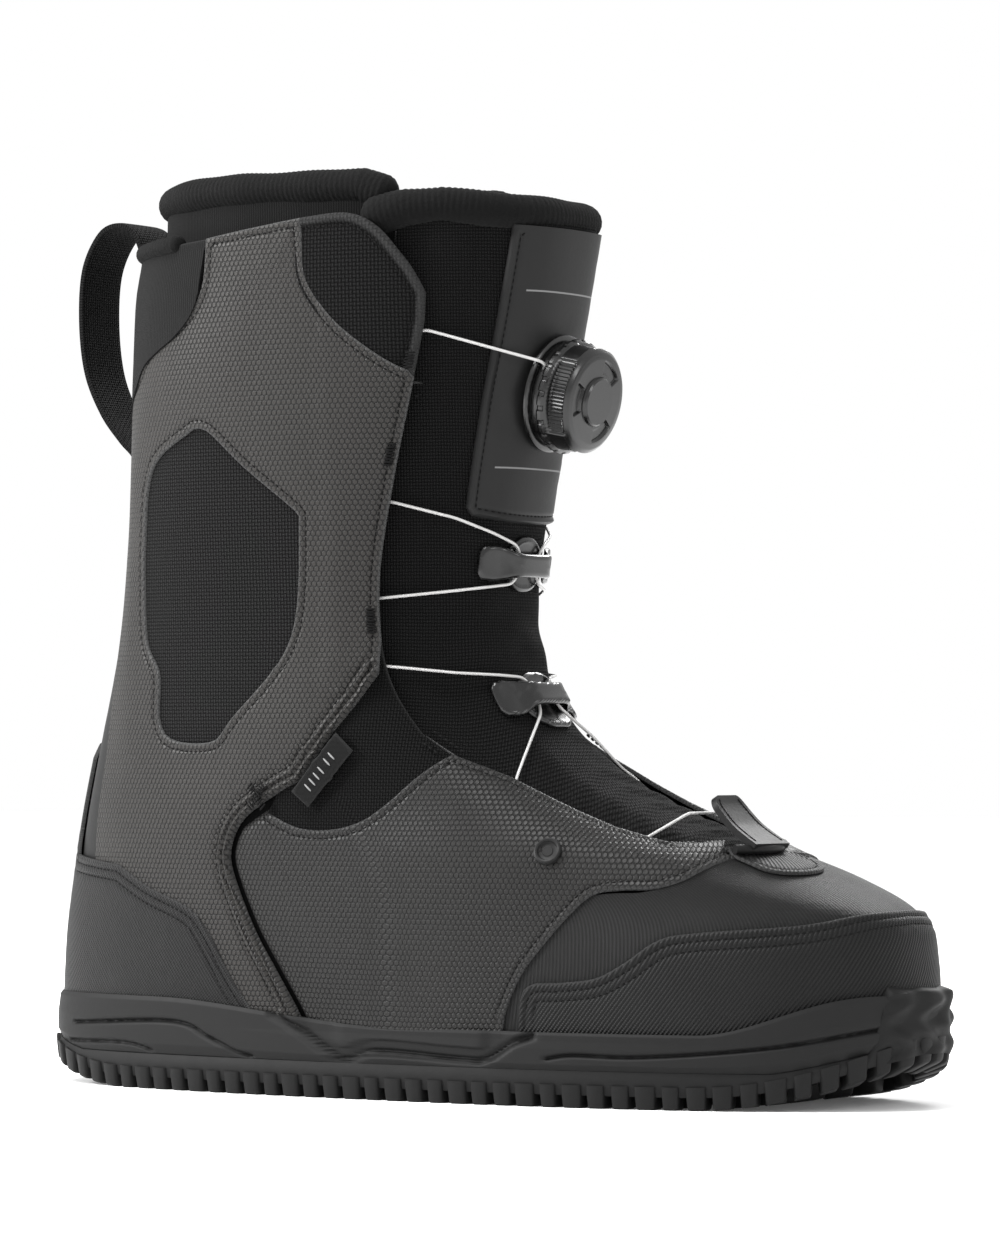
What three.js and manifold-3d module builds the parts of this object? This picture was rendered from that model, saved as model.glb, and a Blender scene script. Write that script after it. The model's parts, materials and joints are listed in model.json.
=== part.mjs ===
// A junior snowboard boot for the right foot, with a dial that reels in one steel lace.
// Millimetres. +X points to the toe, +Y to the inner (medial) side, +Z up.
// The origin is on the ground under the middle of the sole.
import * as THREE from "three";
import { mergeVertices } from "three/addons/utils/BufferGeometryUtils.js";
import Module from "manifold-3d";

const wasm = await Module();
wasm.setup();

// ---- driving dimensions ----------------------------------------------------------------

// Ribs of the boot's outer surface, from the sole's edge to above the collar. Each one is a
// rounded loop: front x and z, back x and z, half width at the heel and at the ball, how square
// the loop is at its front and its back, how far the toe leans inwards, and the sides' bow.
const RIBS = [
  [144, 18, -144, 20, 37, 48, 2.4, 2.7, 9, 3],
  [142.5, 40, -142, 44, 39, 51, 2.5, 2.7, 9, 3],
  [138, 54, -139, 62, 40, 51, 2.5, 2.7, 9, 3],
  [119, 64, -135, 82, 41, 50, 2.5, 2.7, 9, 3],
  [92, 73, -130, 103, 42, 48, 2.5, 2.6, 8, 2],
  [65, 83, -124.5, 124, 43, 46, 2.4, 2.5, 6, 2],
  [40, 96, -120, 145, 44, 45, 2.3, 2.4, 4, 1],
  [21.5, 114, -116.5, 167, 45, 45, 2.3, 2.4, 2, 0],
  [14, 140, -114.5, 189, 46, 46, 2.3, 2.4, 1, 0],
  [18, 172, -113.5, 210, 47, 46, 2.3, 2.4, 0, 0],
  [25.5, 207, -113, 230, 47, 47, 2.3, 2.4, 0, 0],
  [32, 241, -112.5, 248, 47, 47, 2.4, 2.4, 0, 0],
  [38, 272, -112, 262, 48, 47, 2.4, 2.4, 0, 0],
];
const TURN = 28; // facets round the boot
const ROWS = [0, 0.7, 1.4, 2, 2.5, 3, 4, 5, 6, 7, 8, 9, 10, 11, 11.8];

// Layers, as distances out from the outer surface.
const OVERLAY = [0.3, 1.4];
const PANEL = [-1.3, 0];
const BACKING = [-3.2, -1.6];
const CHANNEL = -5.2; // middle of the space where the lace runs
const LINER = [-13, -8.2];
const SEAM = 0.2; // half the gap between two panels
const MIDLINE = 0.2; // half the gap between a left and a right piece

// Sole.
const LUG = 4.5;
const OUTSOLE_TOP = 10;
const MIDSOLE_BASE = 10.3;
const MIDSOLE_FLOOR = 17;
const BOARD = [17.4, 19.4];
const LINER_SOLE = [19.8, 23.8];
const FOOTBED = [24.2, 28];

// Tongue: it folds forward at the instep, where its outer surface turns.
const TONGUE_DIP = 5;
const TONGUE_EDGE = 4.5; // gap from its edge to the opening's
const TONGUE_INSIDE = -12;
const TONGUE_LAP = -6.1;
const FOLD = { x: 14.5, z: 131 };
const LINER_OPEN = 128;

// Lace, its guides and the dial.
const LACE_R = 0.6;
const TUBE_R = 1.6;
const TUBE_BORE = 1.2;
const DIAL_Z = 205;
const DIAL_R = 16.3;
const DIAL_TURN = 20;

// ---- the outer surface -----------------------------------------------------------------

function ribAt(v) {
  const last = RIBS.length - 1;
  const at = Math.min(Math.max(v, 0), last - 1e-9);
  const i = Math.floor(at);
  const t = at - i;
  const p1 = RIBS[i];
  const p2 = RIBS[i + 1];
  const p0 = RIBS[i - 1] ?? p1.map((a, k) => 2 * a - p2[k]);
  const p3 = RIBS[i + 2] ?? p2.map((a, k) => 2 * a - p1[k]);
  return p1.map((a, k) => {
    const c1 = p2[k] - p0[k];
    const c2 = 2 * p0[k] - 5 * a + 4 * p2[k] - p3[k];
    const c3 = 3 * a - p0[k] - 3 * p2[k] + p3[k];
    return 0.5 * (2 * a + c1 * t + c2 * t * t + c3 * t * t * t);
  });
}

// theta is 0 at the front, a quarter turn on the outer side and half a turn at the back.
function surface(theta, v) {
  const [fx, fz, bx, bz, heel, ball, nf, nb, sway, bow] = ribAt(v);
  const c = Math.cos(theta);
  const s = Math.sin(theta);
  const power = 2 / (c > 0 ? nf : nb);
  const along = Math.sign(c) * Math.abs(c) ** power;
  const across = Math.sign(s) * Math.abs(s) ** power;
  const t = (along + 1) / 2;
  const width = heel + (ball - heel) * t * t * (3 - 2 * t);
  return new THREE.Vector3(
    (fx + bx) / 2 + (along * (fx - bx)) / 2,
    -across * width + sway * t * t - bow * Math.sin(Math.PI * t),
    (fz + bz) / 2 + (along * (fz - bz)) / 2,
  );
}

function outward(theta, v) {
  const d = 2e-3;
  const row = Math.max(v, d);
  const across = surface(theta + d, row).sub(surface(theta - d, row));
  const up = surface(theta, row + d).sub(surface(theta, row - d));
  return up.cross(across).normalize();
}

const skin = (theta, v, lift) => surface(theta, v).addScaledVector(outward(theta, v), lift);

// Where the surface meets a point given in a view: wanted(point) is two distances to bring to zero.
function seek(wanted, theta, v) {
  for (let k = 0; k < 30; k += 1) {
    const d = 1e-3;
    const [a, b] = wanted(surface(theta, v));
    const [at, bt] = wanted(surface(theta + d, v));
    const [av, bv] = wanted(surface(theta, v + d));
    const m = [(at - a) / d, (av - a) / d, (bt - b) / d, (bv - b) / d];
    const det = m[0] * m[3] - m[1] * m[2];
    const turn = (a * m[3] - b * m[1]) / det;
    const rise = (m[0] * b - m[2] * a) / det;
    theta -= THREE.MathUtils.clamp(turn, -0.2, 0.2);
    v -= THREE.MathUtils.clamp(rise, -0.7, 0.7);
  }
  return [theta, v];
}
const frontSpot = (y, z) => seek((p) => [p.y - y, p.z - z], y > 0 ? -0.4 : 0.4, z > 110 ? 8 : 5);
const sideSpot = (x, z, side) => seek((p) => [p.x - x, p.z - z], (side * -Math.PI) / 2, z / 26);

// ---- solids ----------------------------------------------------------------------------

function manifoldOf(geometry) {
  const bare = geometry.clone();
  bare.deleteAttribute("normal");
  bare.deleteAttribute("uv");
  const merged = mergeVertices(bare, 1e-4);
  const triVerts = new Uint32Array(merged.index.array);
  const vertProperties = merged.attributes.position.array;
  return new wasm.Manifold(new wasm.Mesh({ numProp: 3, vertProperties, triVerts }));
}

function geometryOf(solid) {
  const mesh = solid.getMesh();
  const g = new THREE.BufferGeometry();
  g.setAttribute("position", new THREE.BufferAttribute(mesh.vertProperties.slice(), 3));
  g.setIndex(new THREE.BufferAttribute(mesh.triVerts.slice(), 1));
  return g;
}

// Rings of equal length, joined in order. Closed rings are capped with fans at both ends.
function loft(rings) {
  const count = rings[0].length;
  const positions = [];
  rings.flat().forEach((p) => positions.push(p.x, p.y, p.z));
  const index = [];
  for (let r = 0; r + 1 < rings.length; r += 1) {
    for (let k = 0; k < count; k += 1) {
      const a = r * count + k;
      const b = r * count + ((k + 1) % count);
      index.push(a, b, a + count, b, b + count, a + count);
    }
  }
  capRing(positions, index, rings[0], 0, true);
  capRing(positions, index, rings.at(-1), (rings.length - 1) * count, false);
  const g = new THREE.BufferGeometry();
  g.setAttribute("position", new THREE.Float32BufferAttribute(positions, 3));
  g.setIndex(index);
  return facingOut(g);
}

function capRing(positions, index, ring, first, flip) {
  const middle = new THREE.Vector3();
  ring.forEach((p) => middle.addScaledVector(p, 1 / ring.length));
  const hub = positions.length / 3;
  positions.push(middle.x, middle.y, middle.z);
  ring.forEach((_, k) => {
    const a = first + k;
    const b = first + ((k + 1) % ring.length);
    index.push(...(flip ? [hub, b, a] : [hub, a, b]));
  });
}

function facingOut(g) {
  const p = g.attributes.position;
  const index = g.index.array;
  const [a, b, c] = [new THREE.Vector3(), new THREE.Vector3(), new THREE.Vector3()];
  let volume = 0;
  for (let k = 0; k < index.length; k += 3) {
    a.fromBufferAttribute(p, index[k]);
    b.fromBufferAttribute(p, index[k + 1]);
    c.fromBufferAttribute(p, index[k + 2]);
    volume += a.dot(b.cross(c));
  }
  if (volume < 0) {
    for (let k = 0; k < index.length; k += 3) {
      [index[k + 1], index[k + 2]] = [index[k + 2], index[k + 1]];
    }
  }
  return g;
}

const ringAngles = (count) => Array.from({ length: count }, (_, k) => (k * 2 * Math.PI) / count);

// A slab between two grids of points, given row by row. A wrapped slab goes all round.
function slab(outer, inner, wrap) {
  const positions = [];
  const index = [];
  const count = outer[0].length;
  outer.forEach((row, r) =>
    row.forEach((p, k) => [p, inner[r][k]].forEach((q) => positions.push(q.x, q.y, q.z))),
  );
  const id = (r, k, face) => (r * count + (k % count)) * 2 + face;
  const quad = (p, q, t, u) => index.push(p, q, t, p, t, u);
  const columns = wrap ? count : count - 1;
  const top = outer.length - 1;
  for (let k = 0; k < columns; k += 1) {
    for (let r = 0; r < top; r += 1) {
      quad(id(r, k, 0), id(r, k + 1, 0), id(r + 1, k + 1, 0), id(r + 1, k, 0));
      quad(id(r, k, 1), id(r + 1, k, 1), id(r + 1, k + 1, 1), id(r, k + 1, 1));
    }
    quad(id(0, k, 0), id(0, k, 1), id(0, k + 1, 1), id(0, k + 1, 0));
    quad(id(top, k, 0), id(top, k + 1, 0), id(top, k + 1, 1), id(top, k, 1));
  }
  for (let r = 0; r < top && !wrap; r += 1) {
    quad(id(r, 0, 0), id(r + 1, 0, 0), id(r + 1, 0, 1), id(r, 0, 1));
    quad(id(r, columns, 0), id(r, columns, 1), id(r + 1, columns, 1), id(r + 1, columns, 0));
  }
  const g = new THREE.BufferGeometry();
  g.setAttribute("position", new THREE.Float32BufferAttribute(positions, 3));
  g.setIndex(index);
  return manifoldOf(facingOut(g));
}

// A sheet over the surface: outer and inner give its distances from it at each theta and v.
function sheet(angles, rows, outer, inner, wrap = false) {
  const grid = (lift) => rows.map((v) => angles.map((theta) => skin(theta, v, lift(theta, v))));
  return slab(grid(outer), grid(inner), wrap);
}

const wall = ([inner, outer], rows) => sheet(ringAngles(TURN), rows, () => outer, () => inner, true);
const spread = (low, high, count) =>
  Array.from({ length: count }, (_, k) => low + ((high - low) * k) / (count - 1));

function extrusion(points, depth) {
  const shape = new THREE.Shape(points.map(([a, b]) => new THREE.Vector2(a, b)));
  return new THREE.ExtrudeGeometry(shape, { depth, bevelEnabled: false, steps: 1 });
}

// An outline in the side view (x, z), pushed across the boot from y = low to y = high.
function acrossY(points, low, high) {
  const g = extrusion(points, high - low);
  g.rotateX(Math.PI / 2);
  g.translate(0, high, 0);
  return manifoldOf(g);
}

// An outline in the front view (y, z), pushed along the boot from x = low to x = high.
function alongX(points, low, high) {
  const g = extrusion(points, high - low);
  g.applyMatrix4(new THREE.Matrix4().set(0, 0, 1, low, 1, 0, 0, 0, 0, 1, 0, 0, 0, 0, 0, 1));
  return manifoldOf(g);
}

const box = (low, high) => {
  const size = high.map((h, k) => h - low[k]);
  const g = new THREE.BoxGeometry(...size);
  return manifoldOf(g.translate(...low.map((l, k) => l + size[k] / 2)));
};

// The outline drawn in by a margin, so that neighbours keep a gap.
function inset(outline, margin) {
  const far = ([ax, ay], [bx, by]) => Math.hypot(ax - bx, ay - by) > 0.5;
  const points = outline.filter((p, k) => far(p, outline.at(k - 1)));
  const turnOf = THREE.ShapeUtils.area(points.map(([a, b]) => new THREE.Vector2(a, b)));
  const side = Math.sign(turnOf) * margin;
  const count = points.length;
  return points.map(([x, y], k) => {
    const [px, py] = points[(k + count - 1) % count];
    const [nx, ny] = points[(k + 1) % count];
    const a = new THREE.Vector2(x - px, y - py).normalize();
    const b = new THREE.Vector2(nx - x, ny - y).normalize();
    const miter = Math.max(1 + a.dot(b), 0.4);
    return [x - ((a.y + b.y) / miter) * side, y + ((a.x + b.x) / miter) * side];
  });
}

const smooth = (points, count) =>
  new THREE.SplineCurve(points.map(([a, b]) => new THREE.Vector2(a, b)))
    .getPoints(count)
    .map((p) => [p.x, p.y]);

function piece(name, solid, look) {
  const geometry = solid.isBufferGeometry ? solid : geometryOf(solid);
  const mesh = new THREE.Mesh(geometry, look);
  mesh.name = name;
  return mesh;
}

const look = (color, roughness, metalness = 0) =>
  new THREE.MeshStandardMaterial({ color, roughness, metalness });

const boot = new THREE.Group();
const add = (name, solid, material) => boot.add(piece(name, solid, material));
const LOOKS = {
  synthetic: () => look(0x57554f, 0.55),
  canvas: () => look(0x232126, 0.9),
  leather: () => look(0x343235, 0.6),
  rubber: () => look(0x262529, 0.8),
  foam: () => look(0x3c3c3d, 0.75),
  fleece: () => look(0x1b1a1c, 1),
  plastic: () => look(0x18181a, 0.35),
  steel: () => look(0xd9d6cc, 0.35, 0.8),
  board: () => look(0x6b6355, 0.85),
};

// ---- seams, in the side view (x, z) ----------------------------------------------------

const VAMP_SEAM = smooth([[35, 8], [37, 24], [43, 36], [51, 45.5], [59, 54], [66, 60], [74, 61.5],
  [83, 62], [90, 64.5], [94.5, 69], [97, 82]], 14);
const TOE_CAP_SEAM = smooth([[41, 8], [42.5, 27], [46, 34], [56, 35], [67, 36.5], [76, 41],
  [85, 47], [94, 49.3], [122, 51.7], [135, 55], [155, 59]], 14);
const CUFF_FRONT_SEAM = smooth([[-33, 91.5], [-40, 88.5], [-53, 81], [-58.5, 73], [-58.5, 65],
  [-51, 49], [-42, 35], [-34, 22], [-29, 8]], 12);
const QUARTER_TOP_SEAM = smooth([[-46, 84], [-42.5, 81.5], [-33, 78], [-22, 77.5], [-11, 80],
  [-2, 85.5], [7, 93], [15, 99.5], [26, 104]], 10);
const EYESTAY_SEAM = [[-33, 91.5], [-24, 102.5], [-15, 113.5], [-8, 124], [0, 132]];
const WING_SEAM = smooth([[-31, 262], [-30.5, 247], [-30, 237], [-21, 226], [-11, 217.5],
  [-1, 211], [9, 208]], 9);
const COLLAR_SEAM = [[-66, 262], [-66, 251], [-67.5, 236], [-74.5, 227], [-92, 220], [-99, 212],
  [-108, 206], [-130, 203]];
const TOP_EDGE = [[-130, 249], [-97, 249.5], [-84, 250], [-66, 251], [-31, 255.3], [-16, 256],
  [-7, 252], [3, 241], [7.6, 229], [9, 215], [9, 208]];
const HEEL_SEAM = smooth([[-46, 8], [-50, 22], [-58, 32.5], [-67, 46.5], [-75, 54], [-92, 60],
  [-111, 69]], 9);
const ANKLE_PATCH = smooth([[-71, 195], [-90, 184], [-95, 163], [-95.5, 145], [-94, 132],
  [-88, 123], [-88, 109], [-82, 103.5], [-66, 103], [-58.5, 109], [-37, 132], [-33, 166],
  [-35.5, 171], [-51.5, 183], [-65, 194], [-71, 195]], 28).slice(0, -1);

// Half width of the front opening at each height, from its toe end to above the collar.
const OPENING = [[75, 22], [79, 26.5], [86, 28.7], [93, 31], [99, 36], [105, 37.5], [280, 37.5]];

const openingHalf = (height) => {
  const k = OPENING.findIndex(([z]) => z > height);
  const [[z0, a], [z1, b]] = [OPENING[k - 1], OPENING[k]];
  return a + ((b - a) * (height - z0)) / (z1 - z0);
};

// The opening as a solid, widened by a margin, from a height upwards and from x = back forwards.
function opening(margin, low = OPENING[0][0], back = -30) {
  const above = OPENING.filter(([z]) => z > low).map(([z, half]) => [half + margin, z]);
  const right = [[openingHalf(low) + margin, low - Math.max(margin, 0)], ...above];
  return alongX([...right, ...right.toReversed().map(([y, z]) => [-y, z])], back, 200);
}

// ---- upper -----------------------------------------------------------------------------

const FAR = 90; // past the boot's sides
const SIDES = { lateral: [-FAR, -MIDLINE], medial: [MIDLINE, FAR] };
const side = (points, [low, high]) => acrossY(inset(points, SEAM), low, high);
const whole = [-FAR, FAR];
const reversed = (points) => points.toReversed();

const BACKSTAY = [[27, 55], [27, 100], [25, 125], [22, 190], [21, 215]];
const strip = (half, margin) =>
  alongX([...half.map(([y, z]) => [y + margin, z]),
    ...half.toReversed().map(([y, z]) => [-y - margin, z])], -160, -70);

const UNDER_TOP = [...TOP_EDGE, [60, 208], [60, 5], [-160, 5], [-160, 249]];

function buildBacking() {
  const low = UNDER_TOP.map(([x, z]) => [x, z > 100 ? z - 2 : z]);
  const solid = wall(BACKING, ROWS.slice(0, -1)).subtract(opening(3.5));
  const top = acrossY([...low.slice(0, 10), [7, 207], [200, 207], [200, 5], ...low.slice(-2)], -FAR, FAR);
  add("upper_backing", solid.intersect(top), LOOKS.canvas());
}

function buildPanels() {
  const layer = wall(PANEL, ROWS).subtract(opening(0));
  const backstay = strip(BACKSTAY, 0);
  const cut = (outline, range) => layer.intersect(side(outline, range));
  const front = [[97, 110], [97, 82]];
  const collar = [...reversed(COLLAR_SEAM.slice(1)), [-66, 251], [-84, 250], [-97, 249.5]];
  const outlines = {
    quarter: [...QUARTER_TOP_SEAM, [26, 112], front[0], ...reversed(VAMP_SEAM),
      ...reversed(CUFF_FRONT_SEAM.filter(([, z]) => z < 83))],
    ankle_gusset: [...EYESTAY_SEAM, [45, 132], [45, 112], ...reversed(QUARTER_TOP_SEAM), [-42, 87]],
    cuff: [[-66, 251], [-31, 255.3], ...WING_SEAM.slice(1), [40, 208], [40, 132],
      ...reversed(EYESTAY_SEAM), ...CUFF_FRONT_SEAM.slice(1), [-160, 8], [-160, 203],
      ...reversed(COLLAR_SEAM.slice(2, -1))],
    cuff_wing: [...reversed(WING_SEAM.slice(1)), ...TOP_EDGE.slice(4, 9), [11, 222], [12, 207]],
  };
  const ankle = side(ANKLE_PATCH, whole);
  const ankleHole = acrossY(inset(ANKLE_PATCH, -SEAM), -FAR, FAR);
  for (const [hand, range] of Object.entries(SIDES)) {
    add(`quarter_${hand}`, cut(outlines.quarter, range), LOOKS.synthetic());
    add(`ankle_gusset_${hand}`, cut(outlines.ankle_gusset, range), LOOKS.canvas());
    const cuff = cut(outlines.cuff, range).subtract(strip(BACKSTAY, SEAM * 2)).subtract(ankleHole);
    add(`cuff_${hand}`, cuff, LOOKS.synthetic());
    const patch = layer.intersect(ankle).intersect(acrossY([[-140, 90], [-20, 90], [-20, 210],
      [-140, 210]], ...range));
    add(`ankle_patch_${hand}`, patch, LOOKS.canvas());
    add(`cuff_wing_${hand}`, cut(outlines.cuff_wing, range), LOOKS.canvas());
  }
  const vamp = [...VAMP_SEAM, [97, 110], [170, 110], [170, 8]];
  add("vamp", cut(vamp, whole), LOOKS.leather());
  const below = acrossY([[-160, 8], [-70, 8], [-70, 225], [-92, 219.8], [-99, 211.6], [-108, 205.6],
    [-130, 202.6], [-160, 202.6]], -FAR, FAR);
  add("backstay", layer.intersect(backstay).intersect(below), LOOKS.leather());
  const rear = side([[-160, 203], ...collar, [-160, 248]], whole);
  add("rear_collar", layer.intersect(rear), LOOKS.canvas());
}

function buildOverlays() {
  const layer = wall(OVERLAY, ROWS.slice(0, 12));
  const heel = side([...HEEL_SEAM, [-160, 71], [-160, 8]], whole);
  const tail = strip([[15, 60], [15, 98], [11, 102.5]], 0);
  add("heel_counter", layer.intersect(heel.add(tail)), LOOKS.leather());
  const toe = side([...TOE_CAP_SEAM, [170, 8]], whole);
  add("toe_cap", layer.intersect(toe), LOOKS.leather());
}

// ---- sole ------------------------------------------------------------------------------

const SOLE_TURN = 36;
const rocker = (x) => 7 * Math.max(0, (x - 88) / 60) ** 2 + 6 * Math.max(0, (-x - 98) / 50) ** 2;
// Height of the midsole's rim where it laps the upper.
const rimHeight = (x) =>
  21 + 6.5 * THREE.MathUtils.smoothstep(-x, 0, 90) + 11 * THREE.MathUtils.smoothstep(x, 95, 140);

// A loop at height z, a distance out from the surface there.
function loop(z, lift, turn = SOLE_TURN) {
  return ringAngles(turn).map((theta) => {
    let v = 0;
    const target = typeof z === "function" ? z(surface(theta, 0).x) : z;
    for (let k = 0; k < 12; k += 1) {
      v = Math.max(0, v + (target - surface(theta, v).z) / 22);
    }
    const p = surface(theta, v);
    const out = outward(theta, v).setZ(0).normalize();
    return p.addScaledVector(out, lift).setZ(target);
  });
}

function buildMidsole() {
  const rings = [
    loop(MIDSOLE_BASE, 2.8),
    loop(13.5, 4.5),
    loop(17.5, 4.3),
    loop((x) => rimHeight(x), 3.2),
    loop((x) => rimHeight(x), 2),
    loop(MIDSOLE_FLOOR, 2),
  ];
  add("midsole", manifoldOf(loft(rings)), LOOKS.foam());
}

// A closed hoop between two distances from the surface, through the given heights.
const hoop = (heights, inner, outer) =>
  slab(heights.map((z) => loop(z, outer)), heights.map((z) => loop(z, inner)), true);

// One block of tread, from the rockered ground line up into the outsole.
function lug(length, width, angle, x, y) {
  const foot = rocker(x);
  const height = OUTSOLE_TOP - 0.4 - foot;
  const g = new THREE.BoxGeometry(length, width, height);
  g.rotateZ(angle);
  return manifoldOf(g.translate(x, y, foot + height / 2));
}

// Blocks of tread: a row along the sole's edge and a grid inside it.
function lugs() {
  const made = [];
  const edge = loop(OUTSOLE_TOP, -1.5, 28);
  edge.forEach((p, k) => {
    const next = edge[(k + 1) % edge.length];
    const angle = Math.atan2(next.y - p.y, next.x - p.x);
    const x = (p.x + next.x) / 2;
    const y = (p.y + next.y) / 2;
    made.push(lug(0.62 * p.distanceTo(next), 9, angle, x, y));
  });
  for (let x = -112; x <= 112; x += 28) {
    const columns = x > 30 ? [-20, 3, 26] : [-14, 0, 14];
    columns.forEach((y) => made.push(lug(16, 9, 0, x, y)));
  }
  return made;
}

function buildOutsole() {
  const top = loop(OUTSOLE_TOP, 4.2, 32);
  const under = loop(OUTSOLE_TOP, 1.5, 32).map((p) => p.setZ(LUG + 0.4 * rocker(p.x)));
  let solid = manifoldOf(loft([under, top]));
  lugs().forEach((block) => {
    solid = solid.add(block);
  });
  const toe = box([119, -60, 0], [170, 60, 60]);
  const bumper = hoop([8.6, 14, 20, 27, (x) => rimHeight(x) + 2], 4.8, 6.2);
  const lip = hoop([8.6, 9.95], 3.2, 6.2);
  add("outsole", solid.add(bumper.add(lip).intersect(toe)), LOOKS.rubber());
}

// ---- inside ----------------------------------------------------------------------------

const plate = (name, [low, high], lift, material) =>
  add(name, manifoldOf(loft([loop(low, lift), loop(high, lift)])), material);

const LINER_TURN = 26;
const LINER_TOP = [[-160, 262], [-60, 263], [-15, 263], [-2, 258], [10, 254], [60, 250]];

function buildLiner() {
  const rows = [0.7, 1.4, 2, 2.5, 3, 4, 5, 6, 7, 8, 9.5, 11.8];
  const ring = (v, lift) => ringAngles(LINER_TURN).map((theta) => skin(theta, v, lift));
  const solid = manifoldOf(
    loft([
      loop(LINER_SOLE[0], LINER[1] - 0.6, LINER_TURN),
      ...[0.25, ...rows].map((v) => ring(v, LINER[1])),
      ...reversed(rows).map((v) => ring(v, LINER[0])),
      loop(LINER_SOLE[1], LINER[0] - 0.6, LINER_TURN),
    ]),
  );
  const below = acrossY([...LINER_TOP, [160, 250], [160, 5], [-160, 5]], -FAR, FAR);
  add("liner_boot", solid.subtract(opening(0.6 - TONGUE_EDGE, LINER_OPEN)).intersect(below), LOOKS.canvas());
}

// Where the surface at theta crosses a line of the side view, as a value of v.
function crossing(theta, line) {
  let [low, high] = [6, RIBS.length - 1];
  for (let k = 0; k < 30; k += 1) {
    const v = (low + high) / 2;
    const p = surface(theta, v);
    if (p.z < heightOn(line, p.x)) low = v;
    else high = v;
  }
  return (low + high) / 2;
}

function heightOn(line, x) {
  const found = line.findIndex(([at]) => at > x);
  const k = found < 0 ? line.length - 1 : Math.max(found, 1);
  const [[x0, z0], [x1, z1]] = [line[k - 1], line[k]];
  return z0 + ((z1 - z0) * (x - x0)) / (x1 - x0);
}

// A path whose steps fall on its own points, so that tight turns get as many as they need.
class Route extends THREE.CatmullRomCurve3 {
  constructor(points) {
    super(points, false, "centripetal");
  }
  getPointAt(t) {
    return this.getPoint(t);
  }
  getTangentAt(t) {
    return this.getTangent(t);
  }
  getSpacedPoints(count) {
    return this.getPoints(count);
  }
}

function tube(points, radius, bore = 0, sides = 6) {
  const circle = (r, Kind) => {
    const shape = new Kind();
    ringAngles(sides).forEach((angle, k) => {
      const [x, y] = [r * Math.cos(angle), r * Math.sin(angle)];
      if (k) shape.lineTo(x, y);
      else shape.moveTo(x, y);
    });
    shape.closePath();
    return shape;
  };
  const shape = circle(radius, THREE.Shape);
  if (bore) shape.holes.push(circle(bore, THREE.Path));
  const steps = points.length - 1;
  return new THREE.ExtrudeGeometry(shape, { steps, extrudePath: new Route(points) });
}

// A rolled edge that follows a line of the side view round the boot.
function roll(angles, line, rise, lift, radius) {
  const points = angles.map((theta) => {
    const v = crossing(theta, line);
    return skin(theta, v, typeof lift === "function" ? lift(theta, v) : lift).setZ(
      heightOn(line, surface(theta, v).x) + rise,
    );
  });
  return tube(points, radius, 0, 8);
}

const degrees = THREE.MathUtils.degToRad;

function buildBindings() {
  const round = spread(degrees(75), degrees(285), 17);
  add("liner_binding", roll(round, LINER_TOP, 3.4, -10.1, 2.8), LOOKS.fleece());
  const rearTop = TOP_EDGE.slice(0, 4);
  const rear = spread(degrees(109), degrees(251), 13);
  add("collar_binding", roll(rear, rearTop, 2.6, -0.8, 2.2), LOOKS.fleece());
}

// ---- tongue ----------------------------------------------------------------------------

const TONGUE_TOP = [[-16, 253], [0, 256], [12, 256.5], [24, 255], [45, 252]];
const tongueDip = (theta, v) =>
  -TONGUE_DIP * THREE.MathUtils.smoothstep(Math.abs(surface(theta, v).y), 12, 30);

function buildTongue() {
  const angles = spread(degrees(-84), degrees(84), 17);
  const rows = [3.2, 4, 4.7, 5.4, 6, 6.5, 7, 7.5, 8, 8.5, 9.2, 10, 11, 11.9];
  const pad = sheet(angles, rows, tongueDip, () => TONGUE_INSIDE);
  const lap = sheet(angles, rows, tongueDip, () => TONGUE_LAP);
  const slot = opening(-TONGUE_EDGE, 75.5, -14);
  const flap = acrossY([[-14, 300], [-14, 258], [-7, 254.8], [3.6, 243.8], [8.6, 231], [9, 228.5],
    [70, 228.5], [70, 300]], -FAR, FAR);
  const top = acrossY([...TONGUE_TOP, [200, 251], [200, FOLD.z + 0.3], [-16, FOLD.z + 0.3]], -FAR, FAR);
  const shaft = pad.intersect(slot).add(lap.intersect(flap)).intersect(top);
  add("tongue_shaft", shaft, LOOKS.canvas());
  const low = box([-14, -50, 60], [200, 50, FOLD.z - 0.3]);
  add("tongue_base", lap.intersect(slot).intersect(low), LOOKS.canvas());
  const edge = roll(spread(degrees(-63), degrees(63), 17), TONGUE_TOP, 3.2,
    (theta, v) => tongueDip(theta, v) + 0.8 - 3 * Math.cos(theta), 2.3);
  add("tongue_binding", edge, LOOKS.fleece());
  const face = sheet(spread(degrees(-40), degrees(40), 11), rows.slice(8),
    (theta, v) => tongueDip(theta, v) + 1.7, (theta, v) => tongueDip(theta, v) + 0.4);
  const outline = [[23, 250], [23.5, 170.5], [21.5, 168], [-21.5, 168], [-23.5, 170.5], [-23, 250]];
  add("tongue_plate", face.intersect(alongX(outline, -10, 80)), LOOKS.leather());
}

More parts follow.
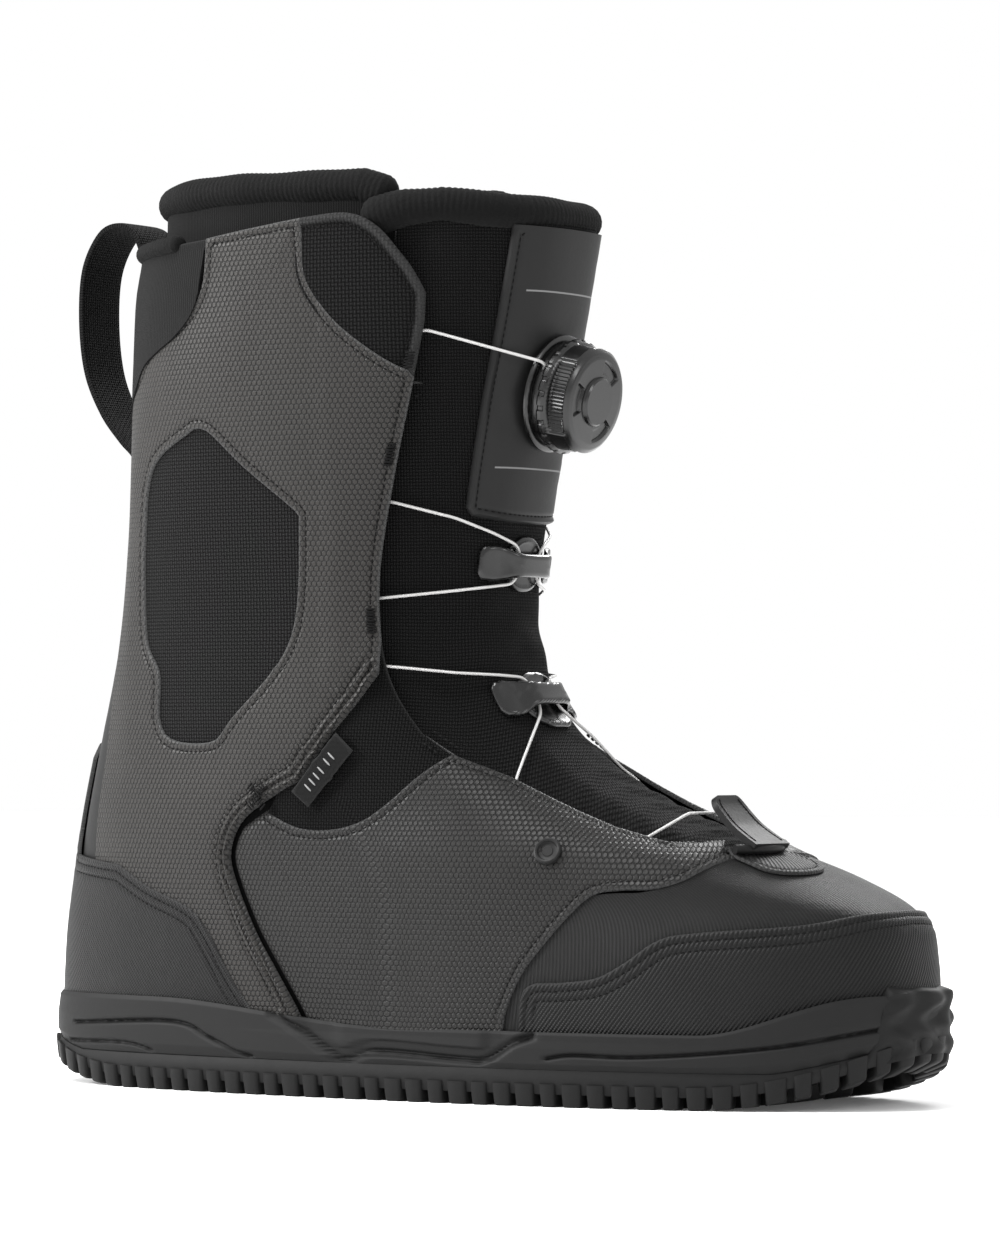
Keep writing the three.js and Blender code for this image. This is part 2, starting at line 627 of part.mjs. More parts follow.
// A moulded strap over the tongue with a low pad under it; the lace turns between them.
function laceGuide(name, height) {
  const v = frontSpot(0, height)[1];
  const angles = spread(degrees(-36), degrees(36), 13);
  const rows = [v - 0.75, v - 0.25, v + 0.25, v + 0.75];
  const over = (value) => (theta, row) => tongueDip(theta, row) + value(surface(theta, row).y);
  const arch = (y) => 3.3 * (1 - THREE.MathUtils.smoothstep(Math.abs(y), 8, 12));
  const round = (a, b) => ringAngles(16).map((t) => [a * Math.cos(t), height + b * Math.sin(t)]);
  const pad = sheet(angles, rows, over(() => 1.5), over(() => 0.6));
  add(`${name}_pad`, pad.intersect(alongX(round(8.8, 7.6), -10, 60)), LOOKS.plastic());
  const strap = sheet(angles, rows, over((y) => 2.2 + arch(y)), over((y) => 0.6 + arch(y)));
  const outline = [[-17, -4.5], [-13, -5.5], [-8.5, -3.8], [8.5, -3.8], [13, -5.5], [17, -4.5],
    [17, 4.5], [13, 5.5], [8.5, 3.8], [-8.5, 3.8], [-13, 5.5], [-17, 4.5]];
  const cut = alongX(outline.map(([y, z]) => [y, z + height]), -10, 60);
  add(`${name}_bridge`, strap.intersect(cut), LOOKS.plastic());
}

// The loop of folded strap at the toe end of the opening, with the lace through it.
function buildToeTab() {
  const outline = [[104, 70.9], [104, 72.9], [91, 77.8], [84.5, 84.5], [81, 89.5], [78.5, 88.8],
    [77, 85.5], [75.4, 82], [76.6, 80.2], [84, 77.8]];
  const shape = new THREE.Shape(outline.map(([a, b]) => new THREE.Vector2(a, b)));
  shape.holes.push(new THREE.Path(ringAngles(10).map(
    (t) => new THREE.Vector2(79.2 + 1.3 * Math.cos(t), 82.6 + 1.3 * Math.sin(t)))));
  const g = new THREE.ExtrudeGeometry(shape, { depth: 21, bevelEnabled: false });
  g.rotateX(Math.PI / 2);
  g.translate(0, 10.5, 0);
  add("toe_lace_tab", g, LOOKS.leather());
}

// ---- dial ------------------------------------------------------------------------------

const DIAL_SPOT = frontSpot(0, DIAL_Z);
const DIAL_AXIS = outward(...DIAL_SPOT);
const dial = new THREE.Group();
dial.position.copy(surface(...DIAL_SPOT));
dial.quaternion.setFromUnitVectors(new THREE.Vector3(0, 0, 1), DIAL_AXIS);
boot.add(dial);

// A turned piece of the dial from its closed profile of radius and height over the tongue.
function turning(name, profile, material, parent = dial) {
  const points = [...profile, profile[0]].map(([r, z]) => new THREE.Vector2(r, z));
  const g = new THREE.LatheGeometry(points, DIAL_TURN);
  g.rotateX(Math.PI / 2);
  parent.add(piece(name, facingOut(solidGeometry(g)), material));
}

function solidGeometry(g) {
  const bare = g.clone();
  bare.deleteAttribute("normal");
  bare.deleteAttribute("uv");
  return mergeVertices(bare, 1e-4);
}

function buildDial() {
  turning("reel_base", [[0, 2], [17, 2], [17, 3.2], [2, 3.2], [2, 13], [0, 13]], LOOKS.plastic());
  turning("reel_spool", [[2.4, 3.6], [10.8, 3.6], [10.8, 4.3], [8.4, 4.8], [8.4, 6.4], [10.8, 6.9],
    [10.8, 7.6], [2.4, 7.6]], LOOKS.plastic());
  turning("drive_disc", [[2.4, 8], [12.8, 8], [12.8, 9.6], [9, 9.6], [9, 11], [2.4, 11]],
    LOOKS.plastic());
  turning("reel_screw", [[0, 13.3], [3.2, 13.3], [3.2, 14.2], [0, 14.6]], LOOKS.steel());
  turning("knob_shell", [[4, 14.4], [13.2, 14.4], [13.2, 9.4], [14.6, 9.4], [14.6, 14.9],
    [13.4, 16.2], [4, 16.2]], LOOKS.plastic());
  turning("knob_cap", [[0, 16.5], [10, 16.5], [9.4, 17.2], [0, 17.6]], LOOKS.plastic());
  const ring = new THREE.Shape(spread(0, 2 * Math.PI, 49).slice(0, -1).map((t, k) => {
    const r = DIAL_R - (k % 6 === 0 || k % 6 === 5 ? 0.6 : 0);
    return new THREE.Vector2(r * Math.cos(t), r * Math.sin(t));
  }));
  ring.holes.push(new THREE.Path(ringAngles(DIAL_TURN).map(
    (t) => new THREE.Vector2(14.95 * Math.cos(t), 14.95 * Math.sin(t)))));
  const grip = new THREE.ExtrudeGeometry(ring, { depth: 4.8, bevelEnabled: false });
  dial.add(piece("knob_grip", grip.translate(0, 0, 9.5), LOOKS.rubber()));
  buildHousing();
}

// The reel's wall, with a slot on each side where the lace leaves it.
const LACE_EXIT = degrees(122);
function buildHousing() {
  const points = [[13.2, 3.5], [15.4, 3.5], [15.4, 8.2], [14.8, 9], [13.2, 9], [13.2, 3.5]];
  const g = new THREE.LatheGeometry(points.map(([r, z]) => new THREE.Vector2(r, z)), DIAL_TURN);
  g.rotateX(Math.PI / 2);
  let solid = manifoldOf(facingOut(solidGeometry(g)));
  for (const hand of [-1, 1]) {
    const slot = new THREE.BoxGeometry(8, 2.6, 2.6);
    slot.translate(15, 0, 5);
    slot.rotateZ(dialAngle(hand));
    solid = solid.subtract(manifoldOf(slot));
  }
  dial.add(piece("reel_housing", solid, LOOKS.plastic()));
}

// Directions round the dial: its local X points down the boot's front, and its local Y inwards.
const dialAngle = (hand) => hand * LACE_EXIT;
const dialPoint = (radius, angle, height) =>
  new THREE.Vector3(radius * Math.cos(angle), radius * Math.sin(angle), height)
    .applyQuaternion(dial.quaternion)
    .add(dial.position);

// ---- lace ------------------------------------------------------------------------------

// Points of the lace on one side. hand is -1 on the outer side and 1 on the inner one.
const onFront = (hand, y, z, lift) => skin(...frontSpot(hand * y, z), lift);
const onSide = (hand, x, z, lift) => skin(...sideSpot(x, z, hand), lift);
const taut = (a, b) => (a.distanceTo(b) < 14 ? [] : [a.clone().lerp(b, 0.07), a.clone().lerp(b, 0.93)]);

// Where the lace turns back inside the upper: x, z and distance from the surface.
const TURNS = {
  upper: [[-4.5, 219.4, CHANNEL], [-9, 213.5, CHANNEL], [-11, 206, CHANNEL], [-13, 192, CHANNEL],
    [-14.5, 181.5, CHANNEL], [-13.8, 175.6, CHANNEL], [-11, 172.8, CHANNEL + 0.4]],
  lower: [[-13, 144.1, CHANNEL + 0.4], [-16, 141.5, CHANNEL], [-17.5, 136.5, CHANNEL], [-17.3, 131.5, CHANNEL],
    [-15.5, 127.3, CHANNEL], [-12.8, 125.5, CHANNEL + 0.4]],
  throat: [[36.5, 89.6, CHANNEL], [43, 84.8, CHANNEL - 0.4], [52, 79.8, CHANNEL - 0.7],
    [62, 76.2, CHANNEL - 0.7], [68.5, 74.8, CHANNEL - 0.3]],
};
// Where it leaves the opening's edge before and after each turn: half width and height.
const EDGES = {
  upper: [[37.2, 221.6], [37.2, 172.1]],
  lower: [[37.2, 144.6], [37.2, 125.1]],
  throat: [[30.4, 93], [22.6, 77.4]],
};
// Where it lies over the tongue's shoulders between an edge and a guide: half width and lift.
const OVER = [[25, -2.2], [15, 1]];
// How it goes round inside a tongue guide, as half width and height over the guide's middle.
const IN_GUIDE = [[6.8, 5.8], [5, 3.5], [4, 0], [5, -3.5], [6.8, -5.8]];
const GUIDE_Z = { upper: 155, lower: 115 };

const turnPoints = (hand, part) => TURNS[part].map(([x, z, lift]) => onSide(hand, x, z, lift));
const guidePoints = (hand, part) =>
  IN_GUIDE.map(([y, z]) => onFront(hand, y, z + GUIDE_Z[part], 2.7));

// Points where the lace bends over the tongue on its way from one spot to another.
const shoulders = (hand, [y0, z0], [y1, z1]) =>
  (y0 > y1 ? OVER : reversed(OVER)).map(([y, lift]) =>
    onFront(hand, y, z0 + ((z1 - z0) * (y - y0)) / (y1 - y0), lift));

function halfLace(hand) {
  const edge = (part, k) => onFront(hand, ...EDGES[part][k], -2.2);
  const angle = dialAngle(hand);
  const inGuide = (part, k) => [IN_GUIDE.at(k)[0], IN_GUIDE.at(k)[1] + GUIDE_Z[part]];
  const stops = [
    [dialPoint(11.6, angle, 5), dialPoint(14, angle, 5), dialPoint(17, angle, 4.9)],
    [edge("upper", 0), ...turnPoints(hand, "upper"), edge("upper", 1)],
    shoulders(hand, EDGES.upper[1], inGuide("upper", 0)),
    guidePoints(hand, "upper"),
    shoulders(hand, inGuide("upper", -1), EDGES.lower[0]),
    [edge("lower", 0), ...turnPoints(hand, "lower"), edge("lower", 1)],
    shoulders(hand, EDGES.lower[1], inGuide("lower", 0)),
    guidePoints(hand, "lower"),
    shoulders(hand, inGuide("lower", -1), EDGES.throat[0]),
    [edge("throat", 0), ...turnPoints(hand, "throat"), edge("throat", 1)],
    [new THREE.Vector3(79.2, hand * 12, 82.6), new THREE.Vector3(79.2, hand * 9, 82.6)],
  ];
  return stops.flatMap((points, k) =>
    (k ? [...taut(stops[k - 1].at(-1), points[0]), ...points] : points));
}

// A path with both its ends drawn in a little, so that the lace enters and leaves straight.
const drawnIn = (points) => points.map((p, k) => {
  if (k === 0) return p.clone().lerp(points[1], 0.25);
  return k === points.length - 1 ? p.clone().lerp(points[k - 1], 0.25) : p;
});

function buildLace() {
  const points = [...halfLace(-1), ...reversed(halfLace(1))];
  add("lace", tube(points, LACE_R, 0, 5), LOOKS.steel());
  for (const [hand, label] of [[-1, "lateral"], [1, "medial"]]) {
    for (const part of Object.keys(TURNS)) {
      const path = drawnIn(turnPoints(hand, part));
      add(`lace_tube_${part}_${label}`, tube(path, TUBE_R, TUBE_BORE), LOOKS.plastic());
    }
  }
}

// ---- trim ------------------------------------------------------------------------------

function buildRivets() {
  for (const [hand, label] of [[-1, "lateral"], [1, "medial"]]) {
    const [theta, v] = sideSpot(51, 71.5, hand);
    const g = new THREE.CylinderGeometry(3.6, 4, 1.5, 20);
    g.rotateX(Math.PI / 2);
    const rivet = piece(`side_rivet_${label}`, g, LOOKS.rubber());
    rivet.quaternion.setFromUnitVectors(new THREE.Vector3(0, 0, 1), outward(theta, v));
    rivet.position.copy(skin(theta, v, 1.25));
    boot.add(rivet);
  }
}

function buildLabel() {
  const outline = [[-34.5, 89], [-20, 105], [-14.6, 100.8], [-29.4, 85]];
  const layer = sheet(spread(degrees(70), degrees(110), 7), [3.2, 4, 4.6, 5.2, 5.8], () => 1.1, () => 0.3);
  add("side_label", layer.intersect(acrossY(outline, -FAR, 0)), LOOKS.canvas());
}

const LOOP_WIDTH = 19;
function buildPullLoop() {
  const line = smooth([[-114.7, 238], [-115.2, 245], [-116.6, 252], [-119.5, 257.5], [-125, 260],
    [-132, 257.5], [-137, 248], [-138.2, 232], [-136, 216], [-130.5, 203.5], [-122.5, 195],
    [-117.6, 189.5], [-117.4, 183], [-117.8, 176]], 26);
  const at = (k, distance) => {
    const [ax, az] = line[Math.max(k - 1, 0)];
    const [bx, bz] = line[Math.min(k + 1, line.length - 1)];
    const out = new THREE.Vector2(-(bz - az), bx - ax).normalize().multiplyScalar(distance);
    return [line[k][0] + out.x, line[k][1] + out.y];
  };
  const outer = line.map((_, k) => at(k, 0.75));
  const inner = line.map((_, k) => at(k, -0.75));
  const band = acrossY([...outer, ...reversed(inner)], -LOOP_WIDTH / 2, LOOP_WIDTH / 2);
  add("pull_loop", band, LOOKS.canvas());
}

buildOutsole();
buildMidsole();
plate("lasting_board", BOARD, BACKING[0] - 0.7, LOOKS.board());
plate("footbed", FOOTBED, LINER[0] - 1.4, LOOKS.fleece());
buildBacking();
buildPanels();
buildOverlays();
buildLiner();
buildBindings();
buildTongue();
laceGuide("guide_upper", GUIDE_Z.upper);
laceGuide("guide_lower", GUIDE_Z.lower);
buildToeTab();
buildDial();
buildLace();
buildRivets();
buildLabel();
buildPullLoop();

export default boot;
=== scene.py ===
# %% [markdown]
# # A snowboard boot
# The boot is a soft one for a right foot. A padded liner stands in an upper of sewn panels on a
# foam midsole with a lugged rubber outsole. A dial on the tongue reels in one thin lace.
# The design fixes where each piece is. Here each one gets its real surface: cut edges, folds,
# rows of stitches, foam that swells between its seams, and the weave or grain of its stuff.

# %% load the frame
import json
import math
import random

import bmesh
import bpy
import numpy as np
from mathutils import Matrix, Vector, kdtree
from mathutils.geometry import delaunay_2d_cdt


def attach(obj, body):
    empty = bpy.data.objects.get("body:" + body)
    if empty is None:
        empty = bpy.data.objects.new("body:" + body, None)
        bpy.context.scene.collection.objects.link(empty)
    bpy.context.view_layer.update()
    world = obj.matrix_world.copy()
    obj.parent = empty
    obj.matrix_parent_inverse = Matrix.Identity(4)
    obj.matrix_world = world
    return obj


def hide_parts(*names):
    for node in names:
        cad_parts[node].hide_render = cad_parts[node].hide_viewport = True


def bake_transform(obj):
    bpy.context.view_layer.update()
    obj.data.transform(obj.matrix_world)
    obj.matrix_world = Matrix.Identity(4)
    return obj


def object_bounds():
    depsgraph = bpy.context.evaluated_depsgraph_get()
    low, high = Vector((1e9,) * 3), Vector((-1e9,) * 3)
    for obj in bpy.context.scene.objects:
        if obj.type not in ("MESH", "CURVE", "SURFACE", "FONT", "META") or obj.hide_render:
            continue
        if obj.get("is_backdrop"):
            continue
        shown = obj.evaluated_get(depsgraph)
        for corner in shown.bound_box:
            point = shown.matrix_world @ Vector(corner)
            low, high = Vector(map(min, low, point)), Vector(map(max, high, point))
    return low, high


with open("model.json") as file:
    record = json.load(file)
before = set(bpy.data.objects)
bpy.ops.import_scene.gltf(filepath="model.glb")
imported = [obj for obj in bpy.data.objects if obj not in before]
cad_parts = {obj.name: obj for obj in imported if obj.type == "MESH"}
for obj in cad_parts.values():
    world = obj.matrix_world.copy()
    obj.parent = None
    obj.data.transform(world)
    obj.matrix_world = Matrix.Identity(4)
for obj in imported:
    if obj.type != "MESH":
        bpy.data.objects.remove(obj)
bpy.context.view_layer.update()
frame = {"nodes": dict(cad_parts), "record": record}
MM = 0.001
random.seed(4)
rng = np.random.default_rng(4)

# %% [markdown]
# ## The last
# A boot's panels are drawn on a last, the solid foot that the upper is pulled over. Ours is the
# one that the design uses: ribs from the sole's edge to above the collar, each a rounded loop,
# with smooth curves from rib to rib. Every panel, seam and stitch is placed on it by two numbers:
# the angle round the boot, from the front, and the height counted in ribs.

# %% the last's surface, in millimetres
RIBS = np.array([  # front x z, back x z, heel and ball half width, front and back power, sway, bow
    [144, 18, -144, 20, 37, 48, 2.4, 2.7, 9, 3],
    [142.5, 40, -142, 44, 39, 51, 2.5, 2.7, 9, 3],
    [138, 54, -139, 62, 40, 51, 2.5, 2.7, 9, 3],
    [119, 64, -135, 82, 41, 50, 2.5, 2.7, 9, 3],
    [92, 73, -130, 103, 42, 48, 2.5, 2.6, 8, 2],
    [65, 83, -124.5, 124, 43, 46, 2.4, 2.5, 6, 2],
    [40, 96, -120, 145, 44, 45, 2.3, 2.4, 4, 1],
    [21.5, 114, -116.5, 167, 45, 45, 2.3, 2.4, 2, 0],
    [14, 140, -114.5, 189, 46, 46, 2.3, 2.4, 1, 0],
    [18, 172, -113.5, 210, 47, 46, 2.3, 2.4, 0, 0],
    [25.5, 207, -113, 230, 47, 47, 2.3, 2.4, 0, 0],
    [32, 241, -112.5, 248, 47, 47, 2.4, 2.4, 0, 0],
    [38, 272, -112, 262, 48, 47, 2.4, 2.4, 0, 0],
], float)
LAST = len(RIBS) - 1
AROUND = np.vstack([2 * RIBS[0] - RIBS[1], RIBS, 2 * RIBS[-1] - RIBS[-2]])
LATERAL, MEDIAL = -1, 1
HANDS = {"lateral": LATERAL, "medial": MEDIAL}


def rib_at(v):
    at = np.clip(v, 0, LAST - 1e-9)
    i = np.floor(at).astype(int)
    t = (at - i)[..., None]
    p0, p1, p2, p3 = (AROUND[i + k] for k in range(4))
    curve = (2 * p0 - 5 * p1 + 4 * p2 - p3) + t * (3 * p1 - p0 - 3 * p2 + p3)
    return p1 + 0.5 * t * (p2 - p0 + t * curve)


def surface(theta, v):
    theta, v = np.broadcast_arrays(np.asarray(theta, float), np.asarray(v, float))
    fx, fz, bx, bz, heel, ball, nf, nb, sway, bow = np.moveaxis(rib_at(v), -1, 0)
    c, s = np.cos(theta), np.sin(theta)
    power = 2 / np.where(c > 0, nf, nb)
    along = np.sign(c) * np.abs(c) ** power
    across = np.sign(s) * np.abs(s) ** power
    t = (along + 1) / 2
    width = heel + (ball - heel) * t * t * (3 - 2 * t)
    return np.stack([
        (fx + bx) / 2 + along * (fx - bx) / 2,
        -across * width + sway * t * t - bow * np.sin(np.pi * t),
        (fz + bz) / 2 + along * (fz - bz) / 2,
    ], -1)


def unit(a):
    return a / np.maximum(np.linalg.norm(a, axis=-1, keepdims=True), 1e-12)


def slopes(theta, v, d=2e-3):
    v = np.maximum(v, d)
    return ((surface(theta + d, v) - surface(theta - d, v)) / (2 * d),
            (surface(theta, v + d) - surface(theta, v - d)) / (2 * d))


def outward(theta, v):
    across, up = slopes(np.asarray(theta, float), np.asarray(v, float))
    return unit(np.cross(up, across))


def skin(theta, v, lift=0.0):
    return surface(theta, v) + outward(theta, v) * np.asarray(lift, float)[..., None]


def spaced(points, step):
    points = np.asarray(points, float)
    out = [points[:1]]
    for a, b in zip(points[:-1], points[1:]):
        n = max(1, int(np.linalg.norm(b - a) / step))
        out.append(a + (b - a) * (np.arange(1, n + 1) / n)[:, None])
    return np.vstack(out)


def smooth(points, count):
    """A round curve through the points, as a list of evenly spaced ones."""
    p = np.asarray(points, float)
    q = np.vstack([2 * p[0] - p[1], p, 2 * p[-1] - p[-2]])
    s = np.linspace(0, len(p) - 1, 12 * len(p))
    i = np.minimum(s.astype(int), len(p) - 2)
    t = (s - i)[:, None]
    a, b, c, d = (q[i + k] for k in range(4))
    curve = b + 0.5 * t * (c - a + t * (2 * a - 5 * b + 4 * c - d + t * (3 * b - a - 3 * c + d)))
    far = np.concatenate([[0], np.cumsum(np.linalg.norm(np.diff(curve, axis=0), axis=1))])
    even = np.linspace(0, far[-1], count)
    return np.stack([np.interp(even, far, curve[:, k]) for k in range(curve.shape[1])], -1)


def level_v(theta, height):
    """The rib count at which the surface reaches a height, at an angle."""
    low, high = np.zeros_like(theta + height), np.full_like(theta + height, LAST - 0.01)
    for _ in range(30):
        mid = (low + high) / 2
        below = surface(theta, mid)[..., 2] < height
        low, high = np.where(below, mid, low), np.where(below, high, mid)
    return (low + high) / 2


def side_line(points, hand, step=3.0):
    """Points (x, z) of the side view, put on one side of the last."""
    x, z = spaced(points, step).T
    low, high = np.zeros(len(x)), np.full(len(x), LAST - 0.01)
    for _ in range(34):
        mid = (low + high) / 2
        fx, fz, bx, bz = rib_at(mid).T[:4]
        below = bz + (fz - bz) * (x - bx) / (fx - bx) < z
        low, high = np.where(below, mid, low), np.where(below, high, mid)
    fx, fz, bx, bz, _, _, nf, nb = rib_at(low).T[:8]
    along = np.clip((2 * x - fx - bx) / (fx - bx), -1, 1)
    cosine = np.sign(along) * np.abs(along) ** (np.where(along > 0, nf, nb) / 2)
    return np.stack([-hand * np.arccos(cosine), low], -1)


def end_line(points, hand, back=False, step=3.0):
    """Points (half width, z) of the view along X, put on the last's front or back."""
    half, z = spaced(points, step).T
    turn = np.linspace(0, np.pi / 2, 200)
    out = []
    for y, height in zip(half, z):
        theta = np.pi - turn if back else turn
        v = level_v(-hand * theta, height)
        width = hand * surface(-hand * theta, v)[:, 1]
        k = np.interp(y, np.maximum.accumulate(width), np.arange(len(turn)))
        out.append((-hand * np.interp(k, np.arange(len(turn)), theta),
                    np.interp(k, np.arange(len(turn)), v)))
    return np.array(out)


def behind(line):
    """The same places with their angle counted through the back, for panels that cross it."""
    return np.stack([np.mod(line[:, 0], 2 * np.pi), line[:, 1]], -1)


# %% the measure of the cloth: how far round and how far up each place is
TURN = np.linspace(0, np.pi, 121)
HEIGHTS = np.linspace(0, 270, 91)
LEVELS = surface(TURN[:, None], level_v(TURN[:, None] + 0 * HEIGHTS, HEIGHTS + 0 * TURN[:, None]))
ROUND = np.concatenate([np.zeros((1, len(HEIGHTS))),
                        np.cumsum(np.linalg.norm(np.diff(LEVELS, axis=0), axis=2), axis=0)])
ROUND = ROUND - ROUND[60] - LEVELS[60, :, 0]


def on_table(table, theta, row, rows):
    a = np.clip(theta / np.pi * 120, 0, 119.999)
    b = np.clip(np.interp(row, rows, np.arange(len(rows))), 0, len(rows) - 1.001)
    i, j = a.astype(int), b.astype(int)
    s, t = a - i, b - j
    top = table[i, j] * (1 - s) + table[i + 1, j] * s
    return top * (1 - t) + (table[i, j + 1] * (1 - s) + table[i + 1, j + 1] * s) * t


def folded(table, theta, row, rows):
    """Reads a half table at any angle, carrying on past the front and the back."""
    theta = np.asarray(theta, float)
    back = on_table(table, np.full_like(theta, np.pi), row, rows)
    front = on_table(table, np.zeros_like(theta), row, rows)
    here = on_table(table, np.where(theta > np.pi, 2 * np.pi - theta, np.abs(theta)), row, rows)
    return np.where(theta > np.pi, 2 * back - here, np.where(theta < 0, 2 * front - here, here))


def by_level(theta, v):
    z = surface(theta, v)[..., 2]
    return folded(ROUND, theta, z, HEIGHTS), z


def by_side(theta, v):
    """The same for a piece on one side only, with the medial side as the lateral one's mirror."""
    z = surface(theta, v)[..., 2]
    return on_table(ROUND, np.minimum(np.abs(theta), np.pi), z, HEIGHTS), z


RIB_ROWS = np.linspace(0, LAST, 121)
WRAP = surface(TURN[:, None], RIB_ROWS[None, :])
HOOP = np.concatenate([np.zeros((1, 121)),
                       np.cumsum(np.linalg.norm(np.diff(WRAP, axis=0), axis=2), axis=0)])
CLIMB = np.concatenate([np.zeros((121, 1)),
                        np.cumsum(np.linalg.norm(np.diff(WRAP, axis=1), axis=2), axis=1)], axis=1)


def by_rib(theta, v):
    """Round along the ribs, and up across them: for cloth whose ribs run over the foot."""
    return (folded(HOOP, theta, v, RIB_ROWS),
            on_table(CLIMB, np.abs(np.mod(theta + np.pi, 2 * np.pi) - np.pi), v, RIB_ROWS))


print("last", len(RIBS), "ribs")

# %% [markdown]
# ## Materials
# Near black stuff is told apart by its surface, so each material is a relief first: embossed
# hexagons, a plain weave, twill ribs, a fine grain. The relief drives the bump and darkens its own
# hollows a little with painted shade. It is drawn in the cloth's own millimetres, kept on each mesh
# as "pattern", whose third number marks the pale raw edge of a cut panel, and on the midsole the
# painted shade in its carved lines.


# %% a socket with arithmetic
class Signal:
    def __init__(self, made, socket):
        self.made, self.socket = made, socket

    def math(self, operation, *others):
        return self.made.node("ShaderNodeMath", [self, *others], operation=operation)[0]

    def __add__(self, other):
        return self.math("ADD", other)

    def __sub__(self, other):
        return self.math("SUBTRACT", other)

    def __mul__(self, other):
        return self.math("MULTIPLY", other)

    def __truediv__(self, other):
        return self.math("DIVIDE", other)

    def __rsub__(self, other):
        return (self * -1) + other

    def __rtruediv__(self, other):
        return self.math("POWER", -1) * other

    __radd__ = __add__
    __rmul__ = __mul__

    def __abs__(self):
        return self.math("ABSOLUTE")

    def wave(self):
        """From 0 to 1 and back once for each whole number."""
        return (self * (2 * math.pi)).math("COSINE") * -0.5 + 0.5

    def step(self, low, high):
        return self.made.node("ShaderNodeMapRange", [self, low, high, 0, 1],
                              interpolation_type="SMOOTHSTEP")[0]


class Stuff:
    """One material: its nodes, and the signals that its relief is drawn from."""

    def __init__(self, name, rough=0.6, metal=0.0, **constants):
        self.material = bpy.data.materials.new(name)
        self.material.use_nodes = True
        self.tree = self.material.node_tree
        self.shader = self.tree.nodes["Principled BSDF"]
        self.shader.inputs["Roughness"].default_value = rough
        self.shader.inputs["Metallic"].default_value = metal
        for key, value in constants.items():
            self.shader.inputs[key.replace("_", " ")].default_value = value
        place = self.node("ShaderNodeAttribute", [], attribute_name="pattern")
        self.u, self.w, self.rim = self.node("ShaderNodeSeparateXYZ", [place[1]])
        self.place = self.node("ShaderNodeTexCoord", [])[3]

    def node(self, kind, values, **settings):
        made = self.tree.nodes.new(kind)
        for key, value in settings.items():
            setattr(made, key, value)
        for socket, value in zip(made.inputs, values):
            if isinstance(value, Signal):
                self.tree.links.new(value.socket, socket)
            elif value is not None:
                socket.default_value = value
        return [Signal(self, s) for s in made.outputs]

    def noise(self, scale, detail=4, roughness=0.6):
        made = self.tree.nodes.new("ShaderNodeTexNoise")
        self.tree.links.new(self.place.socket, made.inputs["Vector"])
        made.inputs["Scale"].default_value = scale
        made.inputs["Detail"].default_value = detail
        made.inputs["Roughness"].default_value = roughness
        return Signal(self, made.outputs["Fac"])

    def mix(self, factor, a, b):
        made = self.tree.nodes.new("ShaderNodeMix")
        made.data_type = "RGBA"
        for name, value in (("Factor", factor), ("A", a), ("B", b)):
            socket = [s for s in made.inputs if s.name == name and s.enabled][0]
            if isinstance(value, Signal):
                self.tree.links.new(value.socket, socket)
            else:
                socket.default_value = value
        return Signal(self, [s for s in made.outputs if s.enabled][0])

    def color(self, value):
        socket = self.shader.inputs["Base Color"]
        if isinstance(value, Signal):
            self.tree.links.new(value.socket, socket)
        else:
            socket.default_value = value

    def roughness(self, value):
        self.tree.links.new(value.socket, self.shader.inputs["Roughness"])

    def relief(self, height, depth):
        bump = self.tree.nodes.new("ShaderNodeBump")
        bump.inputs["Distance"].default_value = depth * MM
        bump.inputs["Strength"].default_value = 1.0
        self.tree.links.new(height.socket, bump.inputs["Height"])
        self.tree.links.new(bump.outputs["Normal"], self.shader.inputs["Normal"])
        return self.material


def grey(level, warm=0.0):
    return (level * (1 + warm), level, level * (1 - warm), 1)


def hexagons(s, cell):
    """0 on the walls and 1 inside the cells of a honeycomb."""
    def nearest(shift):
        a = (s.u / cell + shift).math("FRACT") - 0.5
        b = ((s.w / cell / 1.732 + shift).math("FRACT") - 0.5) * 1.732
        return abs(a).math("MAXIMUM", abs(a) * 0.5 + abs(b) * 0.866)
    return 1 - nearest(0).math("MINIMUM", nearest(0.5)).step(0.28, 0.5)


def plain_weave(s, pitch):
    """Threads that go over and under each other."""
    u, w = s.u / pitch, s.w / pitch
    over = (u.math("FLOOR") + w.math("FLOOR")).math("MODULO", 2)
    over = abs(over)
    return u.wave() * (1 - over) * (0.55 + w.wave() * 0.45) + w.wave() * over * (0.55 + u.wave() * 0.45)


def slanted(s, pitch, slope):
    return ((s.u + s.w * slope) / pitch).wave()


def embossed(name, level, cell, depth, rough, warm=0.03):
    s = Stuff(name, Specular_IOR_Level=0.16)
    cells = hexagons(s, cell)
    grain = s.noise(900)
    height = cells * 0.8 + grain * 0.25
    # Painted shade: the honeycomb's walls, low in the relief, are much darker than its cells.
    base = s.mix(cells, grey(level * 0.25), grey(level, warm))
    # Lighter in broad patches at random.
    blotched = s.mix(s.noise(14, 3).step(0.45, 0.75) * 0.35, base, grey(level * 1.35, warm))
    s.color(s.mix(s.rim, blotched, grey(level * 2.2)))
    s.roughness(rough - cells * 0.08 + grain * 0.1)
    return s.relief(height, depth)


def woven(name, level, pitch, depth, rough=0.85, warm=0.0):
    s = Stuff(name, Sheen_Weight=0.01, Sheen_Roughness=0.5, Specular_IOR_Level=0.05)
    threads = plain_weave(s, pitch)
    height = threads + s.noise(1400) * 0.35
    # Painted shade: the threads are darker where they dip under each other.
    shade = s.mix(threads, grey(level * 0.12), grey(level, warm))
    s.color(s.mix(s.rim, shade, grey(max(level * 2, 0.04))))
    s.roughness(rough - threads * 0.12)
    return s.relief(height, depth)


